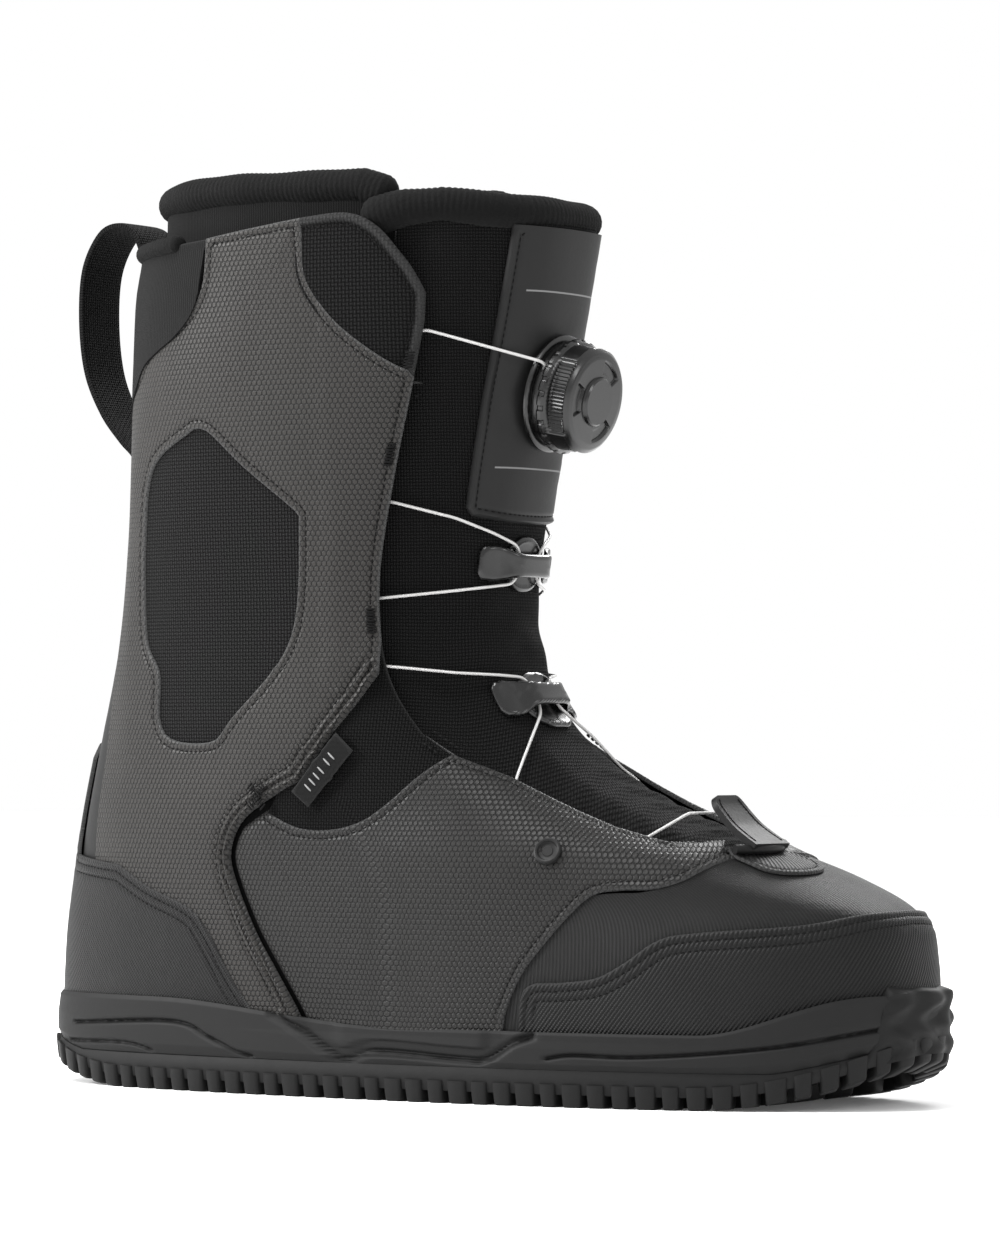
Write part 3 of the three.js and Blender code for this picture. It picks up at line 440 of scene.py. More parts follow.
def ribbed(name, level, pitch, slope, depth, rough=0.6, warm=0.0, broken=0.25):
    s = Stuff(name, Specular_IOR_Level=0.13)
    ribs = slanted(s, pitch, slope)
    beads = slanted(s, pitch * 0.9, -1 / (slope or 0.9))
    height = ribs * (1 - broken) + beads * broken + s.noise(1200) * 0.25
    # Painted shade: the troughs between the ribs are darker.
    shade = s.mix(ribs, grey(level * 0.35), grey(level, warm))
    # Lighter in broad patches at random.
    blotched = s.mix(s.noise(18, 3).step(0.45, 0.75) * 0.3, shade, grey(level * 1.3))
    s.color(s.mix(s.rim, blotched, grey(level * 2.4)))
    s.roughness(rough - ribs * 0.06 + s.noise(60) * 0.08)
    return s.relief(height, depth)


def leathery(name, level, rough=0.45, depth=0.05, lines=()):
    s = Stuff(name, Specular_IOR_Level=0.16)
    grain = s.noise(700, 6, 0.7)
    shade = s.mix(s.rim, s.mix(grain, grey(level * 0.9), grey(level * 1.08)), grey(level * 2))
    _, across, up = s.node("ShaderNodeSeparateXYZ", [s.place])
    for height in lines:
        far = abs(up - height * MM).math("MAXIMUM", abs(across) - 17.5 * MM)
        shade = s.mix(1 - far.step(0.00018, 0.0003), shade, grey(0.16))
    s.color(shade)
    s.roughness(rough + grain * 0.12)
    return s.relief(grain + s.noise(90) * 1.5, depth)


def fleecy(name, level):
    s = Stuff(name, rough=0.95, Sheen_Weight=0.03, Sheen_Roughness=0.6, Specular_IOR_Level=0.03)
    fibres = s.noise(1500, 8, 0.75)
    s.color(s.mix(fibres, grey(level * 0.5), grey(level * 1.5)))
    return s.relief(fibres + s.noise(350) * 0.8, 0.5)


def moulded(name, level, rough=0.3, grain=0.03, scale=500, shine=0.13):
    s = Stuff(name, Specular_IOR_Level=shine)
    speckle = s.noise(scale, 5)
    # Painted shade: the pattern's third number darkens the colour towards black, which only the midsole sets,
    # along its carved lines.
    s.color(s.mix(s.rim, s.mix(speckle, grey(level * 0.88), grey(level * 1.12)), grey(level * 0.15)))
    s.roughness(rough + speckle * 0.14)
    return s.relief(speckle, grain)


def metallic(name, level, rough, metal=1.0, pitch=None):
    s = Stuff(name, rough=rough, metal=metal)
    strands = slanted(s, pitch, 0.8) if pitch else s.noise(600)
    # With a pitch, the grooves between the strands get painted shade; without one the tone only varies at
    # random.
    s.color(s.mix(strands, grey(level * 0.75), grey(level, 0.02)))
    return s.relief(strands, 0.08 if pitch else 0.01)


LOOK = {
    "cuff": embossed("cuff_synthetic", 0.027, 1.7, 0.34, 0.46, 0.06),
    "quarter": embossed("quarter_synthetic", 0.017, 1.7, 0.34, 0.44, 0.03),
    "vamp": ribbed("vamp_synthetic", 0.014, 1.15, 0.12, 0.16, 0.46),
    "cap": ribbed("toe_synthetic", 0.0095, 1.3, 0.75, 0.24, 0.48),
    "counter": ribbed("heel_synthetic", 0.0105, 1.3, -0.75, 0.26, 0.46),
    "stay": leathery("backstay_leather", 0.006),
    "canvas": woven("black_canvas", 0.0075, 0.95, 0.36),
    "coarse": woven("coarse_canvas", 0.012, 1.15, 0.34),
    "patch": woven("patch_canvas", 0.02, 1.05, 0.4),
    "knit": ribbed("collar_knit", 0.009, 0.9, 0.0, 0.16, 0.85, broken=0.4),
    "tongue": woven("tongue_canvas", 0.012, 0.95, 0.36),
    "plate": leathery("plate_leather", 0.012, 0.4, 0.04, (233.4, 182.5)),
    "fleece": fleecy("ribbed_fleece", 0.006),
    "foam": moulded("midsole_foam", 0.011, 0.5, 0.05, 350),
    "rubber": moulded("outsole_rubber", 0.009, 0.5, 0.12, 220),
    "board": moulded("board_fibre", 0.2, 0.8),
    "felt": fleecy("footbed_felt", 0.02),
    "plastic": moulded("dial_plastic", 0.004, 0.17, 0.012, shine=0.5),
    "grip": moulded("grip_rubber", 0.012, 0.38, 0.03),
    "thread": moulded("sewing_thread", 0.0035, 0.75, 0.02),
    "webbing": woven("loop_webbing", 0.01, 1.1, 0.25),
    "label": woven("label_weave", 0.02, 0.35, 0.08),
    "steel": metallic("lace_steel", 0.6, 0.35, 0.2, 0.5),
    "screw": metallic("screw_steel", 0.6, 0.3),
}
print("materials", len(LOOK))

# %% [markdown]
# ## Making meshes
# Four makers do most of the work. `finish_mesh` turns arrays in millimetres into an object.
# `shell` closes two grids into one solid. `tube` sweeps a round section along a path. `sew` cuts a
# panel from the last and puts the thread in. A panel's relief depends on how far each place is
# from the panel's edge, which the mesh operators can't express, so its points are laid in rows
# along the edge and joined by Delaunay triangles.


# %% makers
def finish_mesh(name, verts, faces, look, body="boot", pattern=None, stands_for=(), sharp=40):
    mesh = bpy.data.meshes.new(name)
    mesh.from_pydata((np.asarray(verts, float) * MM).tolist(), [], [list(map(int, f)) for f in faces])
    mesh.validate()
    if pattern is None:
        pattern = np.asarray(verts, float)[:, [0, 2, 1]] * [1, 1, 0]
    if len(pattern) == len(mesh.vertices):
        mesh.attributes.new("pattern", "FLOAT_VECTOR", "POINT").data.foreach_set(
            "vector", np.asarray(pattern, np.float32).ravel())
    mesh.materials.append(LOOK[look])
    mesh.polygons.foreach_set("use_smooth", [True] * len(mesh.polygons))
    mesh.set_sharp_from_angle(angle=math.radians(sharp))
    made = bpy.data.objects.new(name, mesh)
    bpy.context.scene.collection.objects.link(made)
    if body:
        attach(made, body)
    if stands_for:
        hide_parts(*stands_for)
    return made


def grid_faces(rows, columns, wrap, start=0, flip=False):
    faces = []
    for r in range(rows - 1):
        for c in range(columns if wrap else columns - 1):
            d = (c + 1) % columns
            quad = [start + r * columns + c, start + r * columns + d,
                    start + (r + 1) * columns + d, start + (r + 1) * columns + c]
            faces.append(quad[::-1] if flip else quad)
    return faces


def shell(outer, inner, wrap=False):
    """Faces and points of the solid between two grids of points, rows by columns."""
    rows, columns = outer.shape[:2]
    count = rows * columns
    faces = grid_faces(rows, columns, wrap, 0, True) + grid_faces(rows, columns, wrap, count)
    last = (rows - 1) * columns
    for c in range(columns if wrap else columns - 1):
        d = (c + 1) % columns
        faces.append([c, d, d + count, c + count][::-1])
        faces.append([last + d, last + c, last + c + count, last + d + count][::-1])
    if not wrap:
        for r in range(rows - 1):
            a, b = r * columns, (r + 1) * columns
            faces.append([b, a, a + count, b + count][::-1])
            a, b = a + columns - 1, b + columns - 1
            faces.append([a, b, b + count, a + count][::-1])
    return np.vstack([outer.reshape(-1, 3), inner.reshape(-1, 3)]), faces


def even_path(points, step):
    points = np.asarray(points, float)
    length = np.linalg.norm(np.diff(points, axis=0), axis=1).sum()
    return smooth(points, max(4, int(length / step)))


def frames(path):
    """Directions along a path, with two across it that don't twist."""
    along = unit(np.gradient(path, axis=0))
    side = [unit(np.cross(along[0], [0.1, 0.2, 1.0]))]
    for t in along[1:]:
        side.append(unit(side[-1] - t * np.dot(side[-1], t)))
    side = np.array(side)
    return along, side, np.cross(along, side)


def tube(path, radius, sides=12):
    along, a, b = frames(path)
    turn = np.linspace(0, 2 * np.pi, sides, endpoint=False)
    radius = np.broadcast_to(radius, len(path)).reshape(-1, 1, 1)
    ring = a[:, None] * np.cos(turn)[None, :, None] + b[:, None] * np.sin(turn)[None, :, None]
    verts = (path[:, None] + ring * radius).reshape(-1, 3)
    n = len(path)
    faces = grid_faces(n, sides, True) + [list(range(sides))[::-1],
                                          [(n - 1) * sides + k for k in range(sides)]]
    far = np.concatenate([[0], np.cumsum(np.linalg.norm(np.diff(path, axis=0), axis=1))])
    pattern = np.stack([np.repeat(far, sides), np.tile(turn * radius.mean(), n), np.zeros(n * sides)], -1)
    return verts, faces, pattern


def joined(parts):
    """Several (points, faces) as one."""
    verts, faces, start = [], [], 0
    for v, f in parts:
        verts.append(v)
        faces += [[start + k for k in face] for face in f]
        start += len(v)
    return np.vstack(verts), faces


# %% [markdown]
# ## Sewing
# Each stretch of a panel's edge has a style. A cut edge is rounded by the knife, shows its pale
# backing and has a row of stitches in a shallow groove. A double one has two rows. A folded edge
# is a bead of two ridges. A rolled one sinks away softly, and a hidden one lies under its neighbour.

# %% edges, panels and stitches
PLANE = np.array([80.0, 22.0])
ROWS = [0.25, 0.6, 1.1, 1.7, 2.1, 2.5, 2.9, 3.4, 4.0, 4.5, 5.0, 5.5, 6.1]


def bump(d, at, width):
    return np.exp(-((d - at) / width) ** 2)


def knife(d, radius):
    return -radius * (1 - np.minimum(d / radius, 1)) ** 2


EDGE = {
    "hidden": lambda d: 0 * d,
    "plain": lambda d: knife(d, 0.6),
    "cut": lambda d: knife(d, 0.5) - 0.32 * bump(d, 2.4, 0.5),
    "double": lambda d: knife(d, 0.6) - 0.35 * bump(d, 2.3, 0.5) - 0.35 * bump(d, 5.0, 0.5),
    "fold": lambda d: (knife(d, 1.0) + 0.9 * bump(d, 1.2, 0.9) - 0.45 * bump(d, 2.6, 0.4)
                       + 0.55 * bump(d, 3.7, 0.8) - 0.5 * bump(d, 5.2, 0.6)),
    "bind": lambda d: knife(d, 0.9) + 0.65 / (1 + np.exp((d - 2.4) / 0.12)) - 0.2 * bump(d, 3.6, 0.5),
    "roll": lambda d: -2.6 * np.exp(-(d / 1.9) ** 1.6),
}
STITCHES = {"cut": [2.4], "double": [2.3, 5.0], "fold": [5.2], "bind": [3.6]}
RIM = {"cut": 1.0, "double": 1.0, "plain": 0.5, "fold": 0.5, "bind": 0.6}


def walk(outline, step=1.5):
    """An outline's stretches as evenly close places with the style of each."""
    places, styles = [], []
    for k, (style, points) in enumerate(outline):
        following = outline[(k + 1) % len(outline)][1][:1]
        points = np.vstack([points, following])
        for a, b in zip(points[:-1], points[1:]):
            length = np.linalg.norm(surface(*a) - surface(*b))
            n = max(1, int(round(length / step)))
            if length < 0.05:
                continue
            places.append(a + (b - a) * (np.arange(n) / n)[:, None])
            styles += [style] * n
    return np.vstack(places), np.array(styles)


def within(points, loops):
    """Which points lie inside the loops, counting crossings of a ray."""
    x, y = (points / 1).T[:, :, None]
    count = np.zeros(len(points), int)
    for loop in loops:
        (ax, ay), (bx, by) = loop.T, np.roll(loop, -1, 0).T
        crosses = (ay > y) != (by > y)
        with np.errstate(divide="ignore", invalid="ignore"):
            at = ax + (y - ay) * (bx - ax) / (by - ay)
        count += (crosses & (x < at)).sum(1)
    return count % 2 == 1


def inward(places, is_hole):
    """The step in angle and rib that goes one millimetre in from the edge, at each place."""
    ahead, behind_ = np.roll(places, -1, 0), np.roll(places, 1, 0)
    flat = (ahead - behind_) * PLANE
    area = np.sum(places[:, 0] * ahead[:, 1] - ahead[:, 0] * places[:, 1])
    left = np.stack([-flat[:, 1], flat[:, 0]], -1) * (1 if (area > 0) != is_hole else -1)
    across, up = slopes(places[:, 0], places[:, 1])
    tangent = unit(surface(*ahead.T) - surface(*behind_.T))
    side = np.cross(outward(*places.T), tangent)
    aa, ab, bb = (across * across).sum(1), (across * up).sum(1), (up * up).sum(1)
    sa, sb = (across * side).sum(1), (up * side).sum(1)
    det = aa * bb - ab * ab
    step = np.stack([(sa * bb - sb * ab) / det, (sb * aa - sa * ab) / det], -1)
    return step * np.sign((step * PLANE * left).sum(1))[:, None]


class Panel:
    """A piece cut from the last, with its outline, its holes and the relief of its edges."""

    def __init__(self, outline, holes=(), lift=0.0, thick=1.3, puff=0.0, shape=None,
                 measure=by_level, swell=8.0, hollow=False):
        self.hollow = hollow
        walked = [walk(outline), *(walk(h) for h in holes)]
        self.loops, self.styles = [p for p, _ in walked], [s for _, s in walked]
        self.lift, self.thick, self.puff, self.shape = lift, thick, puff, shape
        self.measure, self.swell = measure, swell
        self.trees = {}
        for style in set(np.concatenate(self.styles)):
            found = []
            for places, styles in zip(self.loops, self.styles):
                ends = np.roll(places, -1, 0)
                for t in (0, 0.25, 0.5, 0.75):
                    found.append((places + (ends - places) * t)[styles == style])
            points = surface(*np.vstack(found).T)
            tree = kdtree.KDTree(len(points))
            for k, p in enumerate(points):
                tree.insert(p, k)
            tree.balance()
            self.trees[style] = tree

    def flat(self, places):
        return np.stack(self.measure(*places.T), -1)

    def distances(self, places):
        points = surface(*places.T)
        return {style: np.array([tree.find(p)[2] for p in points])
                for style, tree in self.trees.items()}

    def relief(self, places, far):
        near = np.min([d for s, d in far.items() if s != "hidden"] or [np.full(len(places), 99.0)], 0)
        lift = self.lift + self.puff * (1 - np.exp(-(near / self.swell) ** 2))
        for style, d in far.items():
            lift = lift + EDGE[style](d)
        return lift + (self.shape(*places.T) if self.shape else 0)

    def points(self):
        rows = [(places, np.zeros(len(places))) for places in self.loops]
        for k, places in enumerate(self.loops):
            step = inward(places, k > 0)
            rows += [(places + step * d, np.full(len(places), d)) for d in ROWS]
        low, high = np.vstack(self.loops).min(0), np.vstack(self.loops).max(0)
        for k, v in enumerate(np.arange(low[1], high[1], 0.13)):
            turn = np.linspace(low[0], high[0], 500)
            gone = np.cumsum(np.linalg.norm(np.diff(surface(turn, v), axis=0), axis=1))
            at = np.interp(np.arange(1.5 * (k % 2), gone[-1], 3.0), gone, turn[1:])
            rows.append((np.stack([at, np.full(len(at), v)], -1), np.full(len(at), 7.4)))
        edge = sum(len(p) for p in self.loops)
        places, wanted = (np.concatenate(a) for a in zip(*rows))
        inside = within(self.flat(places[edge:]), [self.flat(p) for p in self.loops])
        keep = np.concatenate([np.full(edge, True), inside])
        places, wanted = places[keep], wanted[keep]
        nearest = np.min(list(self.distances(places).values()), 0)
        keep = (nearest >= wanted * 0.86 - 0.02) | (np.arange(len(places)) < edge)
        return places[keep]

    def mesh(self):
        places = self.points()
        edges, start = [], 0
        for loop in self.loops:
            n = len(loop)
            edges += [(start + k, start + (k + 1) % n) for k in range(n)]
            start += n
        flat = [Vector(p) for p in self.flat(places)]
        verts, _, tris, origin, _, _ = delaunay_2d_cdt(flat, edges, [], 0, 1e-5, True)
        made_up = {k for k, found in enumerate(origin) if not found}
        tris = np.array([t for t in tris if not made_up.intersection(t)])
        places = places[[found[0] if found else 0 for found in origin]]
        middle = np.array([np.array(v) for v in verts])[tris].mean(1)
        tris = tris[within(middle, [self.flat(p) for p in self.loops])]
        a, b, c = np.moveaxis(surface(*np.moveaxis(places[tris], -1, 0)), 1, 0)
        facing = (np.cross(b - a, c - a) * outward(*places[tris[:, 0]].T)).sum(1)
        tris = np.where(facing[:, None] < 0, tris[:, ::-1], tris)
        far = self.distances(places)
        outer = self.relief(places, far)
        under = self.shape(*places.T) if self.hollow else 0
        base = np.minimum(self.lift + under - self.thick, outer - 0.35)
        n = len(places)
        rim = np.zeros(n)
        for style, d in far.items():
            wide = 2.4 if style == "bind" else 0.42
            rim = np.maximum(rim, RIM.get(style, 0) * np.exp(-(d / wide) ** (8 if wide > 1 else 2)))
        points = np.vstack([skin(*places.T, outer), skin(*places.T, base)])
        u, w = self.measure(*places.T)
        pattern = np.tile(np.stack([u, w, rim], -1), (2, 1))
        faces = tris.tolist() + (tris[:, ::-1] + n).tolist()
        seen = {}
        for t in tris.tolist():
            for i, j in ((t[0], t[1]), (t[1], t[2]), (t[2], t[0])):
                if (j, i) in seen:
                    del seen[(j, i)]
                else:
                    seen[(i, j)] = True
        faces += [[j, i, i + n, j + n] for i, j in seen]
        return points, faces, pattern

    def seams(self, pitch=2.0, skip=None):
        """Where the stitches go: their middles, directions along the seam and outward."""
        found = []
        for k, (places, styles) in enumerate(zip(self.loops, self.styles)):
            step = inward(places, k > 0)
            for style, rows in STITCHES.items():
                picked = styles == style
                if not picked.any():
                    continue
                for row in rows:
                    line = places + step * row
                    for _ in range(2):
                        true = np.min(list(self.distances(line).values()), 0)
                        line = line + step * (row - np.minimum(true, row + 1))[:, None] * 0.9
                    line = np.vstack([line, line[:1]])
                    ok = np.append(picked, picked[0])
                    gone = np.concatenate([[0], np.cumsum(np.linalg.norm(
                        np.diff(surface(*line.T), axis=0), axis=1))])
                    at = np.arange(pitch / 2, gone[-1], pitch)
                    spots = np.stack([np.interp(at, gone, line[:, m]) for m in (0, 1)], -1)
                    there = np.interp(at, gone, ok.astype(float)) > 0.99
                    spots = spots[there]
                    at = at[there]
                    ahead = np.stack([np.interp(at + 0.3, gone, line[:, m]) for m in (0, 1)], -1)
                    far = self.distances(spots)
                    nearest = np.min(list(far.values()), 0)
                    real = (nearest > row - 0.5) & (spots[:, 1] > 0.35)
                    if skip is not None:
                        real &= ~skip(surface(*spots.T))
                    spots, ahead = spots[real], ahead[real]
                    if len(spots):
                        lift = self.relief(spots, {s: d[real] for s, d in far.items()})
                        found.append((skin(*spots.T, lift), unit(surface(*ahead.T) - surface(*spots.T)),
                                      outward(*spots.T)))
        return [np.vstack(a) for a in zip(*found)] if found else None


def capsules(middles, along, out, length, radius):
    """Short threads, one at each place, sunk by a third of their thickness."""
    rings, shares = [-1, -0.72, 0, 0.72, 1], [0.4, 0.85, 1, 0.85, 0.4]
    sides = 6
    turn = np.linspace(0, 2 * np.pi, sides, endpoint=False)
    local = np.array([[r * length / 2, s * radius * math.cos(t), s * radius * math.sin(t)]
                      for r, s in zip(rings, shares) for t in turn])
    across = np.cross(out, along)
    middles = middles - out * radius * 0.3
    verts = (middles[:, None] + along[:, None] * local[None, :, :1]
             + across[:, None] * local[None, :, 1:2] + out[:, None] * local[None, :, 2:])
    one = grid_faces(5, sides, True) + [list(range(sides))[::-1], [4 * sides + k for k in range(sides)]]
    n = len(local)
    faces = [[k * n + i for i in f] for k in range(len(middles)) for f in one]
    return verts.reshape(-1, 3), faces


def sew(name, panel, look, body="boot", skip=None, stands_for=None, pitch=2.0):
    points, faces, pattern = panel.mesh()
    made = finish_mesh(name, points, faces, look, body, pattern, (name,) if stands_for is None else stands_for)
    seams = panel.seams(pitch, skip)
    if seams:
        verts, thread = capsules(*seams, pitch * 0.66, 0.34)
        finish_mesh(f"{name}_thread", verts, thread, "thread", body, sharp=80)
    return made


# %% [markdown]
# ## The upper
# The pattern pieces are drawn in the side view, and the opening in the view along X. A piece that
# passes under its neighbour is cut a few millimetres larger there. The lateral and medial sides use
# the same lines.

# %% seams
VAMP_SEAM = smooth([[35, 8], [37, 24], [43, 36], [51, 45.5], [59, 54], [66, 60], [74, 61.5],
                    [83, 62], [90, 64.5], [94.3, 69], [95.2, 72]], 60)
TOE_SEAM = smooth([[41, 8], [42.5, 27], [46, 34], [56, 35], [67, 36.5], [76, 41], [85, 47],
                   [94, 49.3], [122, 51.7], [134, 54.6], [138, 55.2]], 60)
CUFF_FRONT = smooth([[-33, 91.5], [-40, 88.5], [-53, 81], [-58.5, 73], [-58.5, 65], [-51, 49],
                     [-42, 35], [-34, 22], [-29, 8]], 50)
QUARTER_TOP = smooth([[-46, 84], [-42.5, 81.5], [-33, 78], [-22, 77.5], [-11, 80], [-2, 85.5],
                      [7, 93], [15, 99.5], [22, 103.5]], 40)
EYESTAY = smooth([[1, 132.5], [-8, 124], [-15, 113.5], [-24, 102.5], [-33, 91.5]], 20)
WING_SEAM = smooth([[-31, 255], [-30.5, 247], [-29, 237], [-21, 226], [-11, 217.5], [-1, 211],
                    [7.5, 208.3]], 30)
COLLAR = smooth([[-112, 204], [-108, 206], [-99, 212], [-92, 219], [-76, 227], [-68, 236],
                 [-66, 251]], 30)
HEEL_SEAM = smooth([[-46, 8], [-50, 22], [-58, 32.5], [-67, 46.5], [-75, 54], [-92, 60],
                    [-106, 66.5]], 40)
ANKLE_PATCH = smooth([[-71, 195], [-90, 184], [-95, 163], [-95.5, 145], [-94, 132], [-88, 123],
                      [-88, 109], [-82, 103.5], [-66, 103], [-58.5, 109], [-37, 132], [-33, 166],
                      [-35.5, 171], [-51.5, 183], [-65, 194], [-71, 195]], 90)[:-1]
WING_EDGE = smooth([[-31, 255.3], [-16, 256], [-7, 252], [0, 244], [4, 238], [7.6, 229], [9, 215]], 24)
THROAT = [[37.5, 105], [36, 99], [31, 93], [28.7, 86], [26.5, 79], [22, 75]]
BACKSTAY = [[21.5, 205], [22, 190], [25, 125], [27, 100], [27, 55]]
SOLE_ROW = 0.05


OPENING = np.array([[22, 75], [26.5, 79], [28.7, 86], [31, 93], [36, 99], [37.5, 105], [37.5, 280]], float)


def off_opening(line):
    """The part of a line that is outside the opening in front."""
    p = surface(*line.T)
    return line[np.abs(p[:, 1]) > np.interp(p[:, 2], OPENING[:, 1], OPENING[:, 0]) + 0.15]


def flat_row(a, b, v=SOLE_ROW):
    return np.stack([np.linspace(a, b, 40), np.full(40, v)], -1)


def both(line):
    """A line of the lateral side carried on over the midline to the medial side."""
    return np.vstack([line, line[::-1] * [-1, 1]])


def cuff(hand):
    front = end_line([[37.5, 208], [37.5, 132.5]], hand)
    low = side_line(CUFF_FRONT, hand)
    back = end_line(BACKSTAY[::-1], hand, back=True)
    hole = side_line(ANKLE_PATCH, hand)
    outline = [
        ("cut", side_line([[-66, 251], [-31, 255.2]], hand)),
        ("cut", off_opening(side_line(WING_SEAM, hand))),
        ("cut", front),
        ("fold", off_opening(side_line(EYESTAY, hand))),
        ("fold", low),
        ("hidden", flat_row(low[-1, 0], back[0, 0])),
        ("plain", back),
        ("cut", side_line(COLLAR, hand)),
    ]

    def stay(theta, v):
        """The front edge stands up on a stiff strip."""
        p = surface(theta, v)
        return 0.9 * np.exp(-(((np.abs(p[..., 1]) - 38) / 7) ** 2)) * (p[..., 0] > -25) * (p[..., 2] > 118)

    return Panel(outline, [[("cut", hole)]], lift=0.25, puff=0.6, shape=stay, swell=10,
                 measure=by_side)


def covered_by_counter(p):
    """Places that the heel counter covers."""
    return p[:, 2] < np.interp(p[:, 0], HEEL_SEAM[::-1, 0], HEEL_SEAM[::-1, 1], right=0) + 1.5


def quarter(hand):
    throat = end_line(THROAT, hand)
    seam = side_line(VAMP_SEAM[::-1], hand)
    bridge = end_line([[20, 75], [0.2, 75.2]], hand)
    rear = side_line(CUFF_FRONT[::-1][:-12], hand)
    outline = [
        ("cut", off_opening(side_line(QUARTER_TOP, hand))),
        ("cut", throat),
        ("plain", bridge),
        ("cut", seam),
        ("hidden", flat_row(seam[-1, 0], rear[0, 0])),
        ("roll", rear),
    ]
    return Panel(outline, lift=0.0, puff=1.7, swell=16, measure=by_side)


def gusset(hand):
    outline = [
        ("hidden", off_opening(side_line(EYESTAY[::-1] + [-4, 3.5], hand))),
        ("plain", end_line([[37.6, 138], [37.6, 106], [36.5, 100]], hand)),
        ("hidden", off_opening(side_line(QUARTER_TOP[::-1] - [0, 4], hand))),
    ]
    return Panel(outline, lift=-1.1, thick=0.9, puff=0.5, measure=by_side)


def wing(hand):
    outline = [
        ("hidden", side_line((WING_SEAM + [-3.0, -2.0])[::-1], hand)),
        ("bind", off_opening(side_line(WING_EDGE, hand))),
        ("bind", end_line([[37.6, 224], [37.6, 206]], hand)),
    ]
    return Panel(outline, lift=-0.5, thick=1.6, puff=0.6, measure=by_side)


for side, hand in HANDS.items():
    sew(f"cuff_{side}", cuff(hand), "cuff", skip=covered_by_counter)
    sew(f"quarter_{side}", quarter(hand), "quarter")
    sew(f"ankle_gusset_{side}", gusset(hand), "canvas")
    middle = ANKLE_PATCH.mean(0)
    patch = side_line(middle + (ANKLE_PATCH - middle) * 1.07, hand)
    sew(f"ankle_patch_{side}", Panel([("hidden", patch)], lift=-0.75, thick=0.6, measure=by_side), "patch")
    sew(f"cuff_wing_{side}", wing(hand), "coarse")
print("sides sewn")

# %% the pieces that cross the midline
vamp_line = side_line(VAMP_SEAM - [3, 1], LATERAL)
vamp = Panel([("hidden", both(vamp_line)), ("hidden", flat_row(-vamp_line[0, 0], vamp_line[0, 0]))],
             lift=-0.75, thick=0.6, measure=by_rib)
sew("vamp", vamp, "vamp")

toe_line = side_line(TOE_SEAM, LATERAL)
toe = Panel([("double", both(toe_line)), ("hidden", flat_row(-toe_line[0, 0], toe_line[0, 0]))],
            lift=0.75, thick=1.3, measure=by_rib)
sew("toe_cap", toe, "cap")

tail = end_line([[19, 69], [15.5, 76], [15, 98], [11, 102.5], [0, 104]], LATERAL, back=True)
heel_line = np.vstack([side_line(HEEL_SEAM, LATERAL)])
heel = Panel([
    ("double", behind(heel_line)),
    ("cut", np.vstack([behind(tail), (behind(tail)[::-1] * [-1, 1] + [2 * np.pi, 0])])),
    ("double", behind(heel_line)[::-1] * [-1, 1] + [2 * np.pi, 0]),
    ("hidden", flat_row(2 * np.pi - heel_line[0, 0], heel_line[0, 0])),
], lift=1.5, thick=1.3)
sew("heel_counter", heel, "counter")


def mirrored_back(line):
    return line[::-1] * [-1, 1] + [2 * np.pi, 0]


strip = behind(end_line([[half + 3, z] for half, z in BACKSTAY], LATERAL, back=True))
stay = Panel([("hidden", strip), ("hidden", mirrored_back(strip))], lift=-0.45, thick=0.9, puff=0)
sew("backstay", stay, "stay")

rim_line = side_line([[-66, 251], [-84, 250], [-97, 249.5], [-113, 249.2]], LATERAL)
below = side_line((COLLAR + [-1.5, -3.5]), LATERAL)
bottom = behind(end_line([[20, 200.5], [0.1, 200]], LATERAL, back=True))
collar = Panel([
    ("hidden", below), ("plain", rim_line),
    ("plain", mirrored_back(rim_line)), ("hidden", mirrored_back(below)),
    ("hidden", mirrored_back(bottom)),
    ("hidden", bottom[::-1]),
], lift=-0.9, thick=2.0, puff=1.6, swell=9)
sew("rear_collar", collar, "knit")
print("midline pieces sewn")

# %% [markdown]
# ## The tongue
# The tongue is a padded sleeve that fills the opening and tucks under both eyestays. It is in one
# piece here. A leather plate on it carries the dial.


# %% tongue and plate
def ease(x, low, high):
    t = np.clip((x - low) / (high - low), 0, 1)
    return t * t * (3 - 2 * t)


def tongue_dip(theta, v):
    return -5 * ease(np.abs(surface(theta, v)[..., 1]), 12, 30)


TONGUE_TOP = np.array([[-16, 253], [0, 256], [12, 256.5], [24, 255], [45, 252]], float)


def top_of(line, theta):
    """Rib count where a piece that reaches up to a line (x, z) ends, at each angle."""
    v = np.full_like(theta, 11.4)
    for _ in range(4):
        v = level_v(theta, np.interp(surface(theta, v)[..., 0], line[:, 0], line[:, 1]))
    return v


def tongue_grid(rows=230, columns=72):
    across = np.linspace(-1, 1, columns)
    low, high = 3.75, top_of(TONGUE_TOP, np.linspace(-1.1, 1.1, columns))
    theta, v = np.zeros((rows, columns)), np.zeros((rows, columns))
    turn = np.linspace(0, np.pi / 2, 200)
    for r, t in enumerate(np.linspace(0, 1, rows)):
        v[r] = low + (high - low) * t
        p = surface(turn, np.full(200, v[r].mean()))
        half = np.interp(p[0, 2], OPENING[:, 1], OPENING[:, 0]) + 5.5 * ease(t, 0, 0.08)
        reach = np.interp(half, np.maximum.accumulate(-p[:, 1]), turn)
        theta[r] = across * reach
    return theta, v


